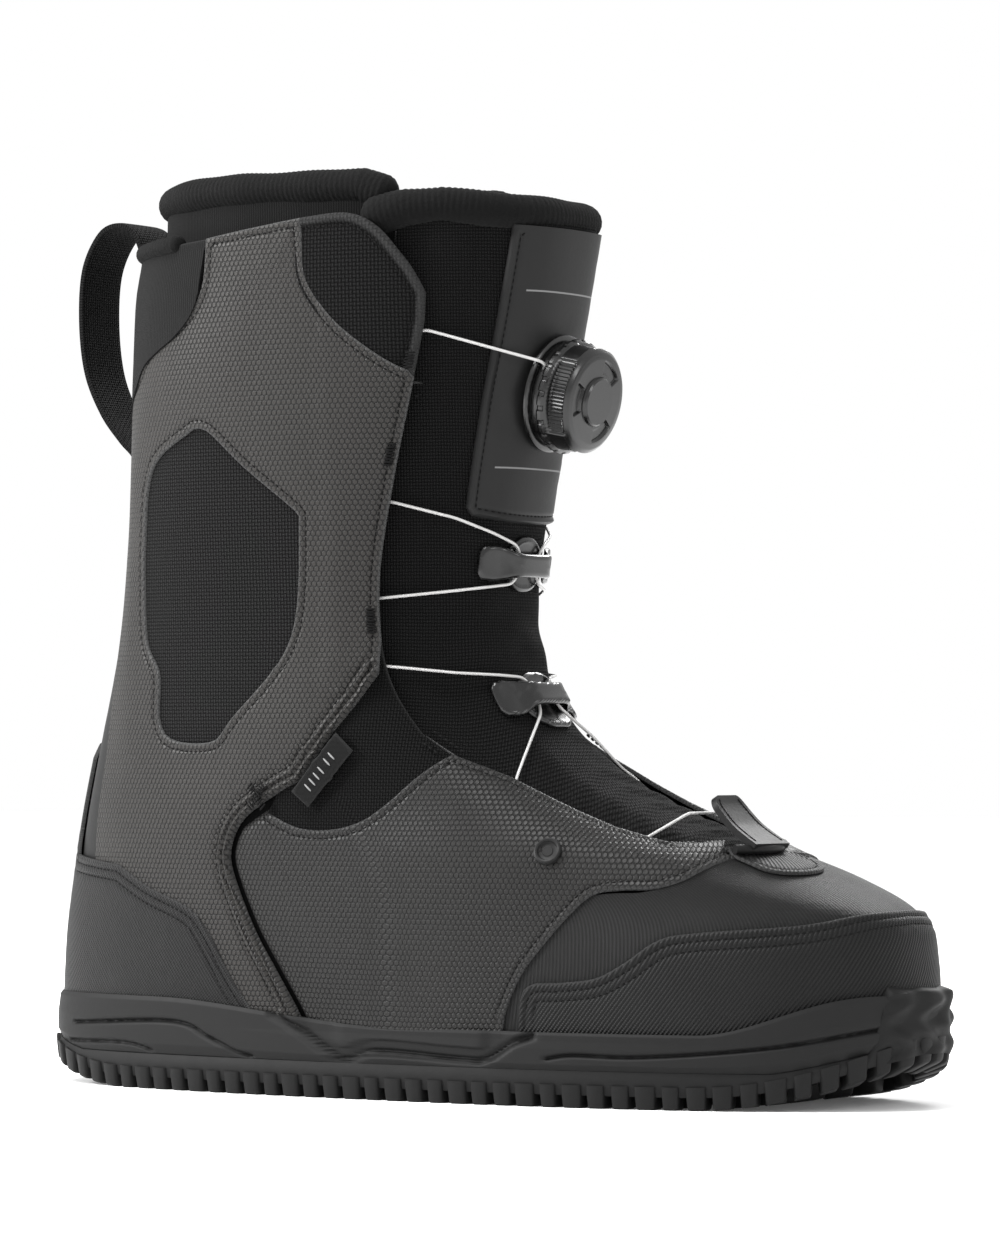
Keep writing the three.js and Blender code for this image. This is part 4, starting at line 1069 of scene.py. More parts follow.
theta, v = tongue_grid()
place = surface(theta, v)
height, y = place[..., 2], place[..., 1]
wrinkle = (0.45 * np.sin(height / 2.6 + np.abs(y) / 7) * np.exp(-(((height - 128) / 17) ** 2))
           + 0.35 * np.sin(place[..., 0] / 1.5 - np.abs(y) / 4) * ease(place[..., 0], 34, 48)
           - 0.5 * np.exp(-(((np.abs(y) - 30.5) / 0.7) ** 2)) * ease(height, 120, 135))
outer = skin(theta, v, tongue_dip(theta, v) - 1.6 * ease(np.abs(y), 37, 43) + wrinkle)
inner = skin(theta, v, np.minimum(-9.0 + 0 * v, tongue_dip(theta, v) - 2.4))
verts, faces = shell(outer, inner)
u, w = by_level(theta, v)
pattern = np.tile(np.stack([u, w, 0 * u], -1).reshape(-1, 3), (2, 1))
tongue = finish_mesh("tongue", verts, faces, "tongue", None, pattern, ("tongue_shaft", "tongue_base"))
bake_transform(tongue)

plate_side = [[21, 168.2], [22.6, 170.5], [23.4, 200], [23.2, 252]]
edge_of_plate = end_line(plate_side, LATERAL)
top = np.stack([np.linspace(edge_of_plate[-1, 0], -edge_of_plate[-1, 0], 30),
                np.full(30, edge_of_plate[-1, 1])], -1)
bottom = np.stack([np.linspace(-edge_of_plate[0, 0], edge_of_plate[0, 0], 30),
                   np.full(30, edge_of_plate[0, 1])], -1)


def on_tongue(theta, v):
    """Follows the tongue's round shoulders, and sinks softly round the dial."""
    p = surface(theta, v)
    far = np.hypot(p[..., 1], (p[..., 2] - 205) * 1.02)
    return tongue_dip(theta, v) * 0.8 - 0.5 * np.exp(-(((far - 19.5) / 2.2) ** 2))


EDGE["bead"] = lambda d: knife(d, 1.0) + 0.4 * bump(d, 1.1, 0.7) - 0.4 * bump(d, 2.5, 0.45)
STITCHES["bead"] = [2.5]
plate = Panel([("bead", edge_of_plate), ("hidden", top),
               ("bead", edge_of_plate[::-1] * [-1, 1]), ("bead", bottom)],
              lift=1.6, thick=1.5, shape=on_tongue)
sew("tongue_plate", plate, "plate", body="tongue")
print("tongue made")

# %% [markdown]
# ## Tongue guides and the toe tab
# Each guide is a round pad with a strap over it that arches in the middle, where the lace goes
# through. The toe tab is a folded leather strap with the lace through its fold.


# %% guides and tab
def ring(center, a, b, count=40):
    t = np.linspace(0, 2 * np.pi, count, endpoint=False)
    return np.stack([a * np.cos(t), center + b * np.sin(t)], -1)


def front_loop(points):
    """A closed outline given as (y, z) on the front, either side of the middle."""
    out = []
    for y, z in points:
        spot = end_line([[abs(y), z], [abs(y), z + 0.01]], LATERAL)[0]
        out.append(spot if y < 0 else spot * [-1, 1])
    return np.array(out)


def arch(theta, v):
    p = surface(theta, v)
    return tongue_dip(theta, v) + 3.3 * (1 - ease(np.abs(p[..., 1]), 7, 12))


def flat_on_tongue(theta, v):
    return tongue_dip(theta, v)


EDGE["moulded"] = lambda d: knife(d, 0.9)
EDGE["rimmed"] = lambda d: knife(d, 0.5) + 0.35 * bump(d, 1.0, 0.5)
GUIDES = {"upper": (155, "tongue"), "lower": (115, "boot")}
for name, (z, body) in GUIDES.items():
    pad = Panel([("rimmed", front_loop(ring(z, 9.2, 8.2)))], lift=1.3, thick=1.1, shape=flat_on_tongue)
    sew(f"guide_{name}_pad", pad, "plastic", body)
    half = [[-17.5, -3.2], [-16.6, -4.8], [-14, -5.4], [-11, -5.0], [-8.5, -3.9], [-5, -3.5], [0, -3.4]]
    half += [[-y, h] for y, h in half[-2::-1]]
    outline = [[y, z + h] for y, h in half] + [[-y, z - h] for y, h in half]
    strap = Panel([("moulded", front_loop(outline))], lift=2.4, thick=1.4, shape=arch, hollow=True)
    sew(f"guide_{name}_bridge", strap, "plastic", body)

spine = smooth([[99.5, 73.2], [95.5, 75.6], [91.2, 78.6], [87.9, 81.8], [85.5, 84.6], [83.9, 87.2]], 60)
t = np.linspace(0, 1, 60)
half_width = 9.6 - 1.9 * t - 3.0 * (1 - np.sqrt(1 - np.clip((t - 0.8) / 0.2, 0, 1) ** 2 * 0.98))
side_ways = np.stack([-np.gradient(spine[:, 1]), np.gradient(spine[:, 0])], -1)
side_ways = unit(side_ways) * np.sign(-side_ways[:, :1] + side_ways[:, 1:] * 0 + 1e-9)
across = np.sin(np.linspace(-np.pi / 2, np.pi / 2, 26))


def strap_grid(offset):
    line = spine + side_ways * offset
    return np.stack([np.repeat(line[:, :1], 26, 1), half_width[:, None] * across,
                     np.repeat(line[:, 1:], 26, 1)], -1)


edge_dip = 1.0 * np.abs(across) ** 8
high_side, low_side = strap_grid(-0.95), strap_grid(0.95)
verts, faces = shell(high_side, low_side)
tab = finish_mesh("toe_lace_tab", verts, faces, "stay", stands_for=("toe_lace_tab",))
threads = []
for sign in (-1, 1):
    k = np.arange(6, 56, 3)
    middle = high_side[k, 13] * [1, 0, 1] + np.stack([0 * k, sign * (half_width[k] - 2), 0 * k], -1)
    normal = unit(high_side[k, 13] - low_side[k, 13])
    threads.append((middle, unit(high_side[k + 1, 13] - high_side[k, 13]), normal))
verts, faces = capsules(*(np.vstack(a) for a in zip(*threads)), 1.3, 0.34)
finish_mesh("tab_thread", verts, faces, "thread", sharp=80)


def top_spot(x, y):
    """The place on the last above a point of the ground plan, near the toe."""
    theta, v = -0.25 * np.sign(y) if y else 0.02, 3.6
    for _ in range(30):
        across_, up = slopes(theta, v)
        miss = surface(theta, v)[:2] - [x, y]
        det = across_[0] * up[1] - across_[1] * up[0]
        theta -= 0.7 * (miss[0] * up[1] - miss[1] * up[0]) / det
        v -= 0.7 * (across_[0] * miss[1] - across_[1] * miss[0]) / det
    return theta, v


facing = [[104 + 9.5 * math.cos(a), 15 * math.sin(a)] for a in np.linspace(-1.5, 1.5, 25)]
facing += [[97, 14.5], [90, 12], [90, -12], [97, -14.5]]
end_piece = Panel([("cut", np.array([top_spot(x, y) for x, y in facing]))], lift=0.5, thick=0.9,
                  measure=by_rib)
sew("facing", end_piece, "cap", stands_for=())
lips = skin(*np.array([top_spot(98.5 - 0.02 * y * y, y) for y in np.linspace(-13.5, 13.5, 28)]).T, 1.9)
verts, faces, pattern = tube(even_path(lips, 0.8), 1.4, 14)
finish_mesh("tab_fold", verts, faces, "stay", pattern=pattern)
print("guides and tab made")

# %% [markdown]
# ## The dial
# The dial is turned: a base disc, a drum, and a knob with three hollow grips cut into its side.
# Fine ribs across each grip keep a glove from slipping. It rides on its own bodies, so it spins
# and lifts with the design's joints.

# %% dial
axis_joint = [j for j in frame["record"]["behaviour"]["joints"] if j["name"] == "dial_spin"][0]
AXIS = np.array(axis_joint["axis"])
DOWN = np.cross([0, 1, 0], AXIS)
DIAL_AT = np.array(axis_joint["pos_m"]) / MM


def dial_point(radius, angle, height):
    return (DIAL_AT + DOWN * np.multiply.outer(radius * np.cos(angle), np.ones(()))[..., None]
            + np.array([0, 1, 0]) * (radius * np.sin(angle))[..., None]
            + AXIS * np.asarray(height)[..., None])


def turned(name, profile, look, body, columns=96, shape=None, stands_for=(), rows=None, sharp=30):
    """A solid turned on the dial's axis, from (radius, height) pairs that start and end on it."""
    profile = np.asarray(profile, float) if rows is None else spaced(profile, rows)
    phi = np.linspace(0, 2 * np.pi, columns, endpoint=False)
    radius = np.repeat(profile[1:-1, :1], columns, 1)
    high = np.repeat(profile[1:-1, 1:], columns, 1)
    if shape:
        radius, high = shape(radius, high, phi[None, :])
    grid = dial_point(radius, phi[None, :] + 0 * radius, high)
    n = len(radius)
    first, last = dial_point(np.zeros(2), np.zeros(2), profile[[0, -1], 1])
    verts = np.vstack([grid.reshape(-1, 3), first, last])
    faces = grid_faces(n, columns, True)
    for c in range(columns):
        d = (c + 1) % columns
        faces.append([n * columns, d, c])
        faces.append([n * columns + 1, (n - 1) * columns + c, (n - 1) * columns + d])
    return finish_mesh(name, verts, faces, look, body, None, stands_for, sharp)


turned("reel_base", [[0, 2], [16.6, 2], [17.3, 2.4], [17.3, 3.0], [16.7, 3.5], [15.9, 3.7], [0, 3.7]],
       "plastic", "tongue", stands_for=("reel_base",))
turned("reel_housing", [[0, 3.8], [15.2, 3.8], [15.3, 7.8], [14.2, 8.6], [0, 8.6]], "plastic", "tongue",
       stands_for=("reel_housing",))
GRIP_MIDDLES = np.radians([-90, 30, 150])


def grips(radius, high, phi):
    """Three ribbed hollows in the knob's side, a notched rim, and shallow windows in its face."""
    turn = np.min(np.abs(np.mod(phi[None] - GRIP_MIDDLES[:, None, None] + np.pi, 2 * np.pi) - np.pi), 0)
    hollow = (1 - ease(turn, 0.70, 0.78)) * ease(high, 8.9, 9.5) * (1 - ease(high, 14.2, 14.9))
    ribs = 0.5 + 0.5 * np.cos(phi * 80)
    side = (radius > 14.5) * 1.0
    radius = radius - side * hollow * (1.8 - 0.45 * ribs - 0.7 * (turn / 0.74) ** 2)
    notch = ease(np.cos(phi * 24), 0.3, 0.7) * (high < 8.6) * (radius > 16)
    radius = radius - 0.5 * notch
    window = (1 - ease(turn, 0.38, 0.44)) * ease(radius, 8.2, 8.6) * (1 - ease(radius, 11.6, 12.0))
    high = high - window * 0.9 * (high > 15.8)
    return radius, high


profile = [[0, 9.2], [15.4, 9.2], [15.7, 6.4], [16.4, 6.2], [16.9, 6.9], [16.9, 8.0], [16.3, 8.6],
           [16.0, 9.0], [15.9, 14.4], [15.2, 15.2], [14.2, 16.0], [12.6, 16.3], [7.4, 16.4],
           [7.1, 17.2], [6.6, 17.6], [0, 17.6]]
turned("dial_knob", profile, "plastic", "knob", 480, grips, ("knob_shell", "knob_grip", "knob_cap"), 0.35)

# %% [markdown]
# ## The lace
# One thin steel lace runs from the dial's two sides. It turns back in tubes under the eyestays and
# crosses in the guides. The part near the dial is one piece on each side, and the rest is one
# piece on the boot.


# %% lace
def on_front(hand, y, z, lift):
    return skin(*end_line([[y, z], [y, z + 0.01]], hand)[0], lift)


def on_side(hand, x, z, lift):
    return skin(*side_line([[x, z], [x + 0.01, z]], hand)[0], lift)


TURNS = {
    "upper": [[-4.5, 219.4, -5.2], [-9, 213.5, -5.2], [-11, 206, -5.2], [-13, 192, -5.2],
              [-14.5, 181.5, -5.2], [-13.8, 175.6, -5.2], [-11, 172.8, -4.8]],
    "lower": [[-13, 144.1, -4.8], [-16, 141.5, -5.2], [-17.5, 136.5, -5.2], [-17.3, 131.5, -5.2],
              [-15.5, 127.3, -5.2], [-12.8, 125.5, -4.8]],
    "throat": [[36.5, 89.6, -5.2], [43, 84.8, -5.6], [52, 79.8, -5.9], [62, 76.2, -5.9],
               [68.5, 74.8, -5.5]],
}
EDGES = {"upper": [[37.2, 221.6], [37.2, 172.1]], "lower": [[37.2, 144.6], [37.2, 125.1]],
         "throat": [[30.4, 93], [22.6, 77.4]]}
LACE = 0.45
OVER = [[25, -1.6], [15, 1.4]]
IN_GUIDE = [[6.8, 5.8], [5, 3.5], [4, 0], [5, -3.5], [6.8, -5.8]]


def turn_back(hand, part):
    a, b = EDGES[part]
    return [on_front(hand, *a, -2.2), *(on_side(hand, *p) for p in TURNS[part]), on_front(hand, *b, -2.2)]


def in_guide(hand, z):
    return [on_front(hand, y, z + h, 2.7) for y, h in IN_GUIDE]


def shoulders(hand, a, b):
    (y0, z0), (y1, z1) = a, b
    return [on_front(hand, y, z0 + (z1 - z0) * (y - y0) / (y1 - y0), lift)
            for y, lift in (OVER if y0 > y1 else OVER[::-1])]


def cable(points, radius, sides=10):
    path = spaced(points, 0.5)
    for _ in range(10):
        path[1:-1] = (path[:-2] + 2 * path[1:-1] + path[2:]) / 4
    return tube(path[::2], radius, sides)


def guide_end(k, z):
    return [IN_GUIDE[k][0], IN_GUIDE[k][1] + z]


def halves(hand):
    angle = np.full(3, hand * math.radians(122))
    up = [*dial_point(np.array([11.6, 14, 17]), angle, np.array([5, 5, 4.9])), *turn_back(hand, "upper"),
          *shoulders(hand, EDGES["upper"][1], guide_end(0, 155)), *in_guide(hand, 155),
          *shoulders(hand, guide_end(-1, 155), EDGES["lower"][0]), *turn_back(hand, "lower")[:4]]
    down = [*turn_back(hand, "lower")[3:], *shoulders(hand, EDGES["lower"][1], guide_end(0, 115)),
            *in_guide(hand, 115), *shoulders(hand, guide_end(-1, 115), EDGES["throat"][0]),
            *turn_back(hand, "throat"), np.array([79.2, hand * 12, 82.6])]
    return up, down


low_path = []
for side, hand in HANDS.items():
    up, down = halves(hand)
    low_path = low_path + down if hand < 0 else low_path + down[::-1]
    verts, faces, pattern = cable(up, LACE)
    upper_lace = finish_mesh(f"lace_{side}", verts, faces, "steel", None, pattern, ("lace",))
    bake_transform(upper_lace)
verts, faces, pattern = cable(low_path, LACE)
finish_mesh("lace_low", verts, faces, "steel", "boot", pattern, ("lace",))
print("dial and lace made")

# %% [markdown]
# ## Liner and fleece rolls
# The liner is a padded sock whose front is open behind the tongue. Its top edge, the tongue's and
# the collar's are bound with a roll of ribbed fleece, drawn in by its seam at every rib.


# %% liner and rolls
def fleece_roll(name, body, angles, line, radius, lift, rise, stands_for, flat=1.0):
    theta = np.linspace(*np.radians(angles), 160)
    path = skin(theta, top_of(line, np.mod(theta + 2 * np.pi, 2 * np.pi)), lift(theta)) + [0, 0, rise]
    path = even_path(path, 0.42)
    far = np.arange(len(path)) * 0.42
    ends = np.sqrt(np.clip(np.minimum(far, far[::-1]) / radius, 0.02, 1) * (2 - np.clip(
        np.minimum(far, far[::-1]) / radius, 0.02, 1)))
    ribs = 1 + 0.05 * np.abs(np.sin(far * np.pi / 1.7)) + 0.04 * np.sin(far / 9) + 0.03 * np.sin(far / 3.7)
    verts, faces, pattern = tube(path, radius * ends * ribs, 20)
    made = finish_mesh(name, verts, faces, "fleece", body, pattern, stands_for, sharp=70)
    return made


LINER_TOP = np.array([[-160, 262], [-60, 263], [-15, 262], [-2, 258], [10, 254], [60, 250]], float)
COLLAR_TOP = np.array([[-160, 249], [-97, 249.5], [-84, 250], [-66, 251]], float)
fleece_roll("liner_binding", "boot", (66, 294), LINER_TOP, 4.7, lambda a: -10.4 + 0 * a, 2.4,
            ("liner_binding",))
fleece_roll("tongue_binding", "tongue", (-74, 74), TONGUE_TOP, 5.2,
            lambda a: -5.2 - 2.2 * ease(np.abs(a), 0.35, 0.9), 1.0, ("tongue_binding",))
fleece_roll("collar_binding", "boot", (118, 242), COLLAR_TOP, 2.6, lambda a: -1.8 + 0 * a, 0.2,
            ("collar_binding",))

rows, columns = 120, 150
v_rows = np.linspace(1.0, 1, rows)
front = np.interp(np.linspace(0, 1, rows), [0, 0.5, 0.58, 1], [0.03, 0.03, 0.9, 1.15])
theta = front[:, None] + (2 * np.pi - 2 * front[:, None]) * np.linspace(0, 1, columns)
high = np.array([top_of(LINER_TOP, row) for row in theta])
v = 1.0 + (high - 1.0) * np.linspace(0, 1, rows)[:, None]
outer, inner = skin(theta, v, np.full(v.shape, -8.3)), skin(theta, v, np.full(v.shape, -12.8))
verts, faces = shell(outer, inner)
u, w = by_level(theta, v)
pattern = np.tile(np.stack([u, w, 0 * u], -1).reshape(-1, 3), (2, 1))
liner = finish_mesh("liner", verts, faces, "knit", "boot", pattern, ("liner_boot",))

line = smooth([[-113.8, 236], [-114.4, 244], [-116.2, 252], [-119.5, 258.5], [-125, 261], [-132, 258.5],
               [-138, 248], [-139.2, 232], [-137, 216], [-131, 203.5], [-124, 195], [-118.6, 189.5],
               [-117.9, 183], [-118, 176]], 110)
normal = unit(np.stack([-np.gradient(line[:, 1]), np.gradient(line[:, 0])], -1))
across = np.linspace(-1, 1, 16)


def band(offset):
    at = line[:, None] + normal[:, None] * (offset * (1 - 0.25 * np.abs(across) ** 6))[None, :, None]
    return np.stack([at[..., 0], np.repeat(9.5 * across[None], len(line), 0), at[..., 1]], -1)


verts, faces = shell(band(0.85), band(-0.85))
far = np.arange(len(line)) * 1.5
pattern = np.tile(np.stack([np.repeat(9.5 * across[None], len(line), 0), np.repeat(far[:, None], 16, 1),
                            np.zeros((len(line), 16))], -1).reshape(-1, 3), (2, 1))
finish_mesh("pull_loop", verts, faces, "webbing", "boot", pattern, ("pull_loop",))
print("liner, rolls and loop made")

# %% [markdown]
# ## The sole
# The midsole is moulded foam with lines and an arch panel sunk into its sides. The outsole under
# it is rubber with rows of lugs and a rough toe that wraps up over the foam.


# %% sole
def rim_height(x):
    return 21 + 6.5 * ease(-x, 0, 90) + 11 * ease(x, 95, 140)


def rocker(x):
    return 13 * np.maximum(0, (x - 92) / 54) ** 2.2 + 9 * np.maximum(0, (-x - 102) / 46) ** 2


def foam_base(x):
    return 9.6 + 0.85 * np.maximum(0, rocker(x) - 2)


def sole_loop(theta, z, lift):
    """Places at a height, a level distance out from the last."""
    v = np.maximum(level_v(theta, z), 0)
    p, out = surface(theta, v), outward(theta, np.maximum(v, 0.02)) * [1, 1, 0]
    p = p + unit(out) * np.asarray(lift, float)[..., None]
    p[..., 2] = z
    return p


def away(x, z, points):
    """Distance in the side view to a line, and the line's height under each place."""
    dense = spaced(points, 0.6)
    d = np.sqrt(((np.stack([x, z], -1)[..., None, :] - dense) ** 2).sum(-1)).min(-1)
    order = np.argsort(dense[:, 0])
    return d, np.interp(x, dense[order, 0], dense[order, 1])


ARCH = smooth([[-43, 23.6], [-34, 19.6], [-20, 11.9], [-15, 11.3], [-6, 13.7], [23, 12.4], [32, 12.7],
               [41, 17.8], [47, 19.8]], 60)
SWEEP = smooth([[-128, 18.6], [-83, 20.5], [-68, 16.3], [-58, 12.6], [-52, 11.2]], 40)
FORE = smooth([[52, 13.7], [60, 14.8], [81, 14.7], [116, 17.8], [145, 23.7]], 40)
HEEL_LINE = smooth([[-131, 13.0], [-103, 13.4], [-92, 11.4]], 20)


def carving(x, z):
    d, line = away(x, z, ARCH)
    inside = ease(x, -38, -30) * (1 - ease(x, 37, 43)) * ease(z, line, line + 1.0)
    cut = -1.6 * inside - 1.8 * bump(d, 0.3, 0.8)
    cut = cut + 0.9 * inside * ease(z, line + 3.2, line + 4.2) * ease(x, -22, -18) * (1 - ease(x, 30, 33))
    for points, depth in ((SWEEP, 1.5), (FORE, 1.3), (HEEL_LINE, 1.3)):
        cut = cut - depth * bump(away(x, z, points)[0], 0, 0.6)
    return cut


columns = 720
theta = np.linspace(0, 2 * np.pi, columns, endpoint=False)
plan = surface(theta, 0 * theta)
share = np.linspace(0, 1, 66)
turn_grid = np.repeat(theta[None], len(share), 0)
base = foam_base(plan[:, 0])[None]
z = base + (rim_height(plan[:, 0])[None] - base) * share[:, None]
lift = np.interp(share, [0, 0.06, 0.22, 0.6, 0.93, 1], [1.0, 1.8, 2.9, 2.9, 2.5, 1.9])[:, None] + 0 * z
at = sole_loop(turn_grid, z, lift)
lift = lift + carving(at[..., 0], at[..., 2])
outer = sole_loop(turn_grid, z, lift)
inner = sole_loop(turn_grid, z, np.full(z.shape, -1.2))
verts, faces = shell(outer, inner, True)
# Painted shade for the carved lines, kept as the pattern's third number, which darkens the foam towards black.
painted_groove_shade = bump(away(at[..., 0], at[..., 2], ARCH)[0], 0, 0.75)
for points in (SWEEP, FORE, HEEL_LINE):
    painted_groove_shade = np.maximum(painted_groove_shade, 0.8 * bump(away(at[..., 0], at[..., 2], points)[0], 0, 0.4))
pattern = np.zeros((2, *z.shape, 3))
pattern[..., 2] = painted_groove_shade
finish_mesh("midsole", verts, faces, "foam", "boot", pattern.reshape(-1, 3), ("midsole",), sharp=60)

share = np.concatenate([np.linspace(0, 0.16, 5), np.linspace(0.2, 1, 26)])
toe = ease(plan[:, 0], 136, 141)
seat = foam_base(plan[:, 0]) + 0.8
top = seat + toe * (rim_height(plan[:, 0]) + 2.6 - seat)
z = 3.6 + rocker(plan[:, 0])[None] + (top - 3.6 - rocker(plan[:, 0]))[None] * share[:, None]
turn_grid = np.repeat(theta[None], len(share), 0)
lumps = (0.55 * np.sin(turn_grid * 34 + 2.2 * np.sin(z * 0.45)) + 0.4 * np.sin(z * 0.9 + turn_grid * 9)) * toe
lift = 2.0 + 0.6 * np.sin(np.clip(share, 0, 1) * np.pi)[:, None] + 0 * z
lift = lift + toe * (1.1 + lumps) - 3.2 * toe * ease(share[:, None], 0.9, 1.0)
lift = np.where(z > seat + 0.05, np.where(toe > 0.05, lift, 1.0), lift)
side = sole_loop(turn_grid, z, lift)
edge_row = side[0]
hub = np.stack([np.clip(edge_row[:, 0], -88, 92), 4 + 0 * theta, 0 * theta], -1)
under = [edge_row * [1, 1, 1]]
for s in (0.94, 0.8, 0.6, 0.4, 0.2, 0.02):
    row = hub + (edge_row - hub) * [s, s, 1]
    row[:, 2] = 4.0 + rocker(row[:, 0])
    under.append(row)
inner_top = sole_loop(theta, top, np.full(columns, -0.5))
grid = np.array([*under[::-1], *side[1:], inner_top])
floor_ = [hub + (inner_top - hub) * [s, s, 1] for s in (0.5, 0.02)]
for row in floor_:
    row[:, 2] = foam_base(row[:, 0]) + 0.8
grid = np.array([*grid, *floor_])
verts = grid.reshape(-1, 3)
n = len(grid)
faces = grid_faces(n, columns, True) + [list(range(columns))[::-1],
                                        [(n - 1) * columns + k for k in range(columns)]]
parts = [(verts, faces)]


def lug(x, y, length, width, angle, tilt=0.0):
    """A rounded block of tread with sloping sides, standing in the sole's rubber."""
    t = np.linspace(0, 2 * np.pi, 20, endpoint=False)
    outline = np.stack([np.sign(np.cos(t)) * np.abs(np.cos(t)) ** 0.35 * length / 2,
                        np.sign(np.sin(t)) * np.abs(np.sin(t)) ** 0.35 * width / 2], -1)
    levels = [(6.5, 1.12), (4.2, 1.08), (1.0, 0.98), (0.3, 0.93), (0.0, 0.82)]
    c, s = math.cos(angle), math.sin(angle)
    rows = []
    for z, size in levels:
        p = outline * size
        px, py = x + p[:, 0] * c - p[:, 1] * s, y + p[:, 0] * s + p[:, 1] * c
        rows.append(np.stack([px, py, z + rocker(px)], -1))
    verts = np.array(rows).reshape(-1, 3)
    return verts, grid_faces(5, 20, True, flip=True) + [list(range(20)), [80 + k for k in range(20)][::-1]]


hoop = surface(np.linspace(0, 2 * np.pi, 2000), 0)
gone = np.concatenate([[0], np.cumsum(np.linalg.norm(np.diff(hoop, axis=0), axis=1))])
count = 88
for k in range(count):
    a = float(np.interp((k + 0.5) * gone[-1] / count, gone, np.linspace(0, 2 * np.pi, 2000)))
    p, out = surface(a, 0.0), unit(outward(a, 0.02) * [1, 1, 0])
    size = 1 + 0.12 * math.sin(k * 2.4)
    reach = 9.5 if k % 2 else 7.5
    middle = p + out * (3.0 - reach / 2)
    parts.append(lug(middle[0], middle[1], reach, 5.4 * size, math.atan2(out[1], out[0])))
    if k % 2 == 0:
        middle = p - out * 12
        if abs(middle[0]) < 120:
            parts.append(lug(middle[0], middle[1], 8, 7.5, math.atan2(out[1], out[0]) + 0.5))
for x in np.arange(-104, 118, 14.5):
    for y in (-10, 8):
        parts.append(lug(x, y + 5 * ease(x, 0, 90), 8.5, 9.5, 0.6 * (1 if y > 0 else -1)))
verts, faces = joined(parts)
finish_mesh("outsole", verts, faces, "rubber", "boot", None, ("outsole",), sharp=50)
print("sole made")

# %% [markdown]
# ## Small things
# A rubber button on each side, a woven label folded into the seam with plain bars on it, and bar
# tacks where the eyestay and the seams take the pull.


# %% button, label, tacks
def spot_frame(theta, v, lift=0.0):
    out = outward(np.array(theta), np.array(v))
    up = unit(np.array([0, 0, 1.0]) - out * out[2])
    return skin(theta, v, lift), up, out


for side, hand in HANDS.items():
    center, up, out = spot_frame(*side_line([[51, 71.5], [51.01, 71.5]], hand)[0], 0.6)
    right = np.cross(up, out)
    t = np.linspace(0, 2 * np.pi, 64, endpoint=False)
    rows = [(4.1, -0.4), (4.1, 0.7), (3.95, 1.15), (3.5, 1.35), (3.0, 1.2), (2.8, 0.7), (2.6, 0.55),
            (1.6, 0.6), (1.5, 0.75), (0.1, 0.75)]
    verts = np.array([center + out * h + r * (right * np.cos(a) + up * np.sin(a)) for r, h in rows for a in t])
    faces = grid_faces(len(rows), 64, True) + [list(range(64))[::-1], [9 * 64 + k for k in range(64)]]
    finish_mesh(f"side_rivet_{side}", verts, faces, "grip", "boot", None, (f"side_rivet_{side}",))

LABEL = np.array([[-34.5, 88.5], [-19.5, 105.5], [-13.5, 100.3], [-28.6, 84]])
label = Panel([("plain", side_line(np.vstack([LABEL, LABEL[:1]]), LATERAL)[:-1])], lift=1.9, thick=0.8, puff=0.3)
sew("side_label", label, "label")
long_way, short_way = LABEL[1] - LABEL[0], LABEL[2] - LABEL[1]
middles, along, outs = [], [], []
for k, s in enumerate((0.22, 0.32, 0.42, 0.52, 0.66, 0.76)):
    a = LABEL[0] + long_way * s + short_way * 0.3
    b = LABEL[0] + long_way * s + short_way * 0.7
    p, q = (side_line([end, end + [0.01, 0]], LATERAL)[0] for end in (a, b))
    mid = (p + q) / 2
    middles.append(skin(*mid, 2.15))
    along.append(unit(surface(*q) - surface(*p)))
    outs.append(outward(*mid))
verts, faces = capsules(np.array(middles), np.array(along), np.array(outs), 3.0, 0.3)
LOOK["bars"] = moulded("label_thread", 0.22, 0.7)
finish_mesh("label_bars", verts, faces, "bars", sharp=80)


def bar_tack(spots, length, turn=0.0):
    found = []
    for theta, v, lift in spots:
        center, up, out = spot_frame(theta, v, lift)
        right = np.cross(up, out)
        found.append((center, right * math.cos(turn) + up * math.sin(turn), out))
    middles, along, outs = (np.array(a) for a in zip(*found))
    return capsules(middles, along, outs, length, 0.33)


tacks = []
for hand in HANDS.values():
    for z0, count in ((211, 6), (183, 8), (134.5, 9)):
        spots = [(*end_line([[38.5, z0 + k * 0.85], [38.5, z0 + k * 0.85 + 0.01]], hand)[0], 1.5)
                 for k in range(count)]
        tacks.append(bar_tack(spots, 2.8))
    for turn in (0.8, -0.8):
        spots = [(*side_line([[-47 + k * 0.9 * math.cos(turn), 87 + k * 0.9 * math.sin(turn) * 1.2],
                              [-46.9, 87]], hand)[0], 2.0) for k in range(-4, 5)]
        tacks.append(bar_tack(spots, 2.6, turn + np.pi / 2))
verts, faces = joined(tacks)
finish_mesh("bar_tacks", verts, faces, "thread", sharp=80)

for name, node in frame["nodes"].items():
    look = {"lasting_board": "board", "footbed": "felt", "upper_backing": "canvas", "reel_spool": "plastic",
            "drive_disc": "plastic", "reel_screw": "screw"}.get(name, "plastic")
    node.data.materials.clear()
    node.data.materials.append(LOOK[look])
print("small things made")

# %% [markdown]
# ## Picture
# A long lens from the outer side, a little in front and level with the ankle, in soft light from
# above and from the front, on a white floor.

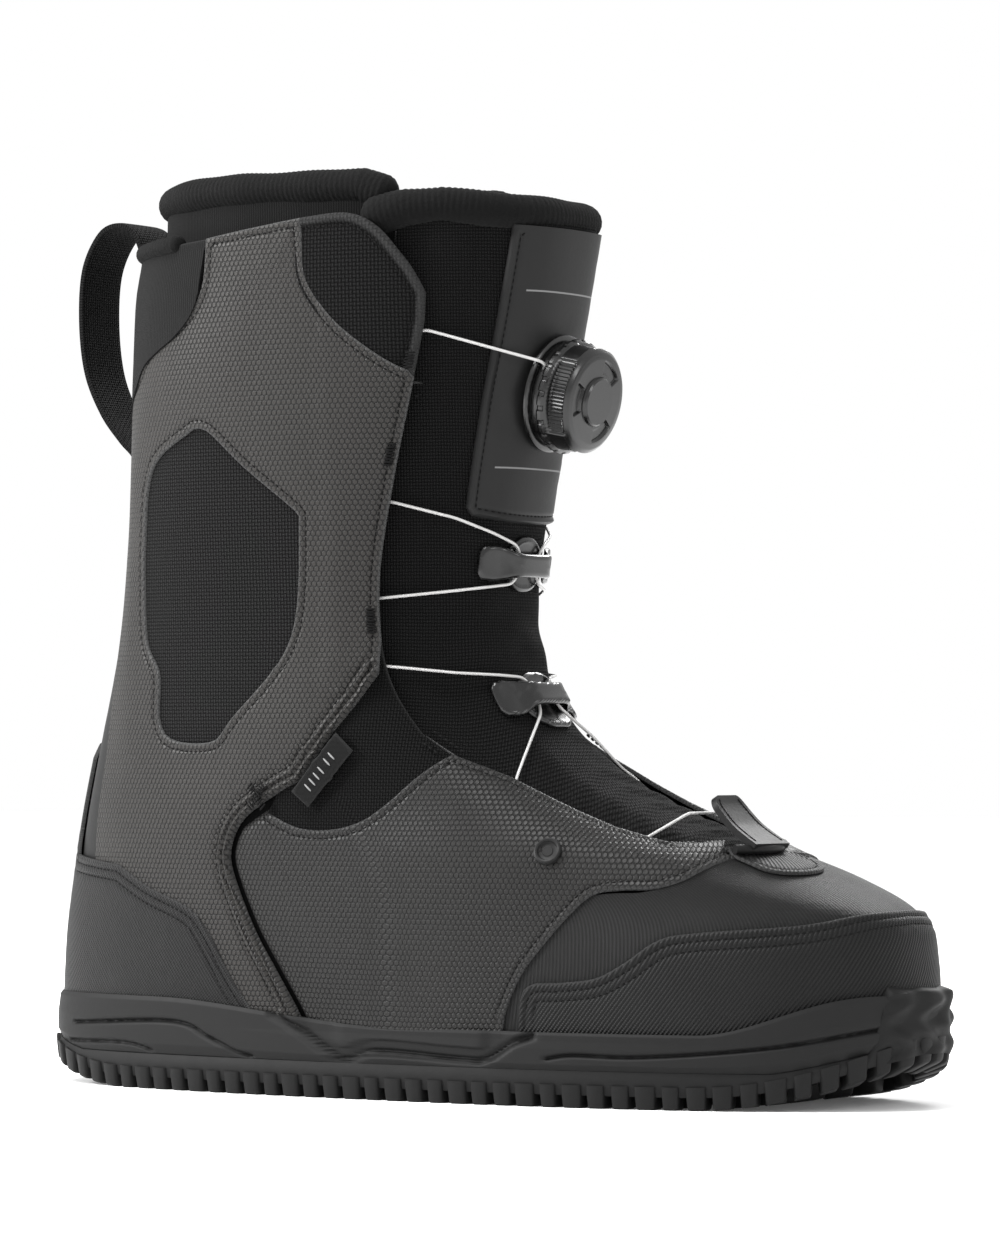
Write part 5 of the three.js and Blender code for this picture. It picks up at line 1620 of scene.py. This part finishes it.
# %% floor, light and camera
scene = bpy.context.scene
mesh = bpy.data.meshes.new("floor")
bm = bmesh.new()
bmesh.ops.create_grid(bm, x_segments=1, y_segments=1, size=6)
bm.to_mesh(mesh)
bm.free()
floor = bpy.data.objects.new("floor", mesh)
scene.collection.objects.link(floor)
paper = bpy.data.materials.new("floor_paper")
paper.use_nodes = True
paper.node_tree.nodes["Principled BSDF"].inputs["Base Color"].default_value = (0.95, 0.95, 0.95, 1)
paper.node_tree.nodes["Principled BSDF"].inputs["Roughness"].default_value = 0.9
paper.node_tree.nodes["Principled BSDF"].inputs["Emission Color"].default_value = (1, 1, 1, 1)
paper.node_tree.nodes["Principled BSDF"].inputs["Emission Strength"].default_value = 0.06
mesh.materials.append(paper)
floor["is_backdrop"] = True

world = bpy.data.worlds.new("studio")
scene.world = world
world.use_nodes = True
world.node_tree.nodes["Background"].inputs["Color"].default_value = (1, 1, 1, 1)
world.node_tree.nodes["Background"].inputs["Strength"].default_value = 1.0


def softbox(name, at, aim, size, power):
    light = bpy.data.lights.new(name, "AREA")
    light.shape, light.size, light.energy = "DISK", size, power
    made = bpy.data.objects.new(name, light)
    scene.collection.objects.link(made)
    made.location = at
    made.rotation_euler = (Vector(aim) - Vector(at)).to_track_quat("-Z", "Y").to_euler()
    made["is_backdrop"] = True


softbox("top", (-0.35, -0.5, 1.5), (0, 0, 0.12), 0.8, 26)
softbox("left", (-1.3, -0.9, 0.8), (0, 0, 0.15), 0.5, 30)
softbox("right", (1.3, -0.1, 0.7), (0, 0, 0.12), 0.4, 3)
softbox("rim", (-0.2, 1.3, 1.0), (0, 0, 0.15), 0.6, 12)

eye = Vector((0.8714, -1.3419, 0.100))
camera = bpy.data.objects.new("camera", bpy.data.cameras.new("camera"))
scene.collection.objects.link(camera)
camera.data.sensor_fit = "VERTICAL"
camera.data.sensor_height = 36
camera.data.lens = 156.7
camera.location = eye
toward = Vector((-0.5446, 0.8387, 0.0))
right = Vector((0.8387, 0.5446, 0.0))
aim = toward * 1.0 + right * (22 / 5440) + Vector((0, 0, 127 / 5440))
camera.rotation_euler = aim.to_track_quat("-Z", "Y").to_euler()
scene.camera = camera
scene.view_settings.view_transform = "Standard"

low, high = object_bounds()
print("size", [round(b - a, 4) for a, b in zip(low, high)])
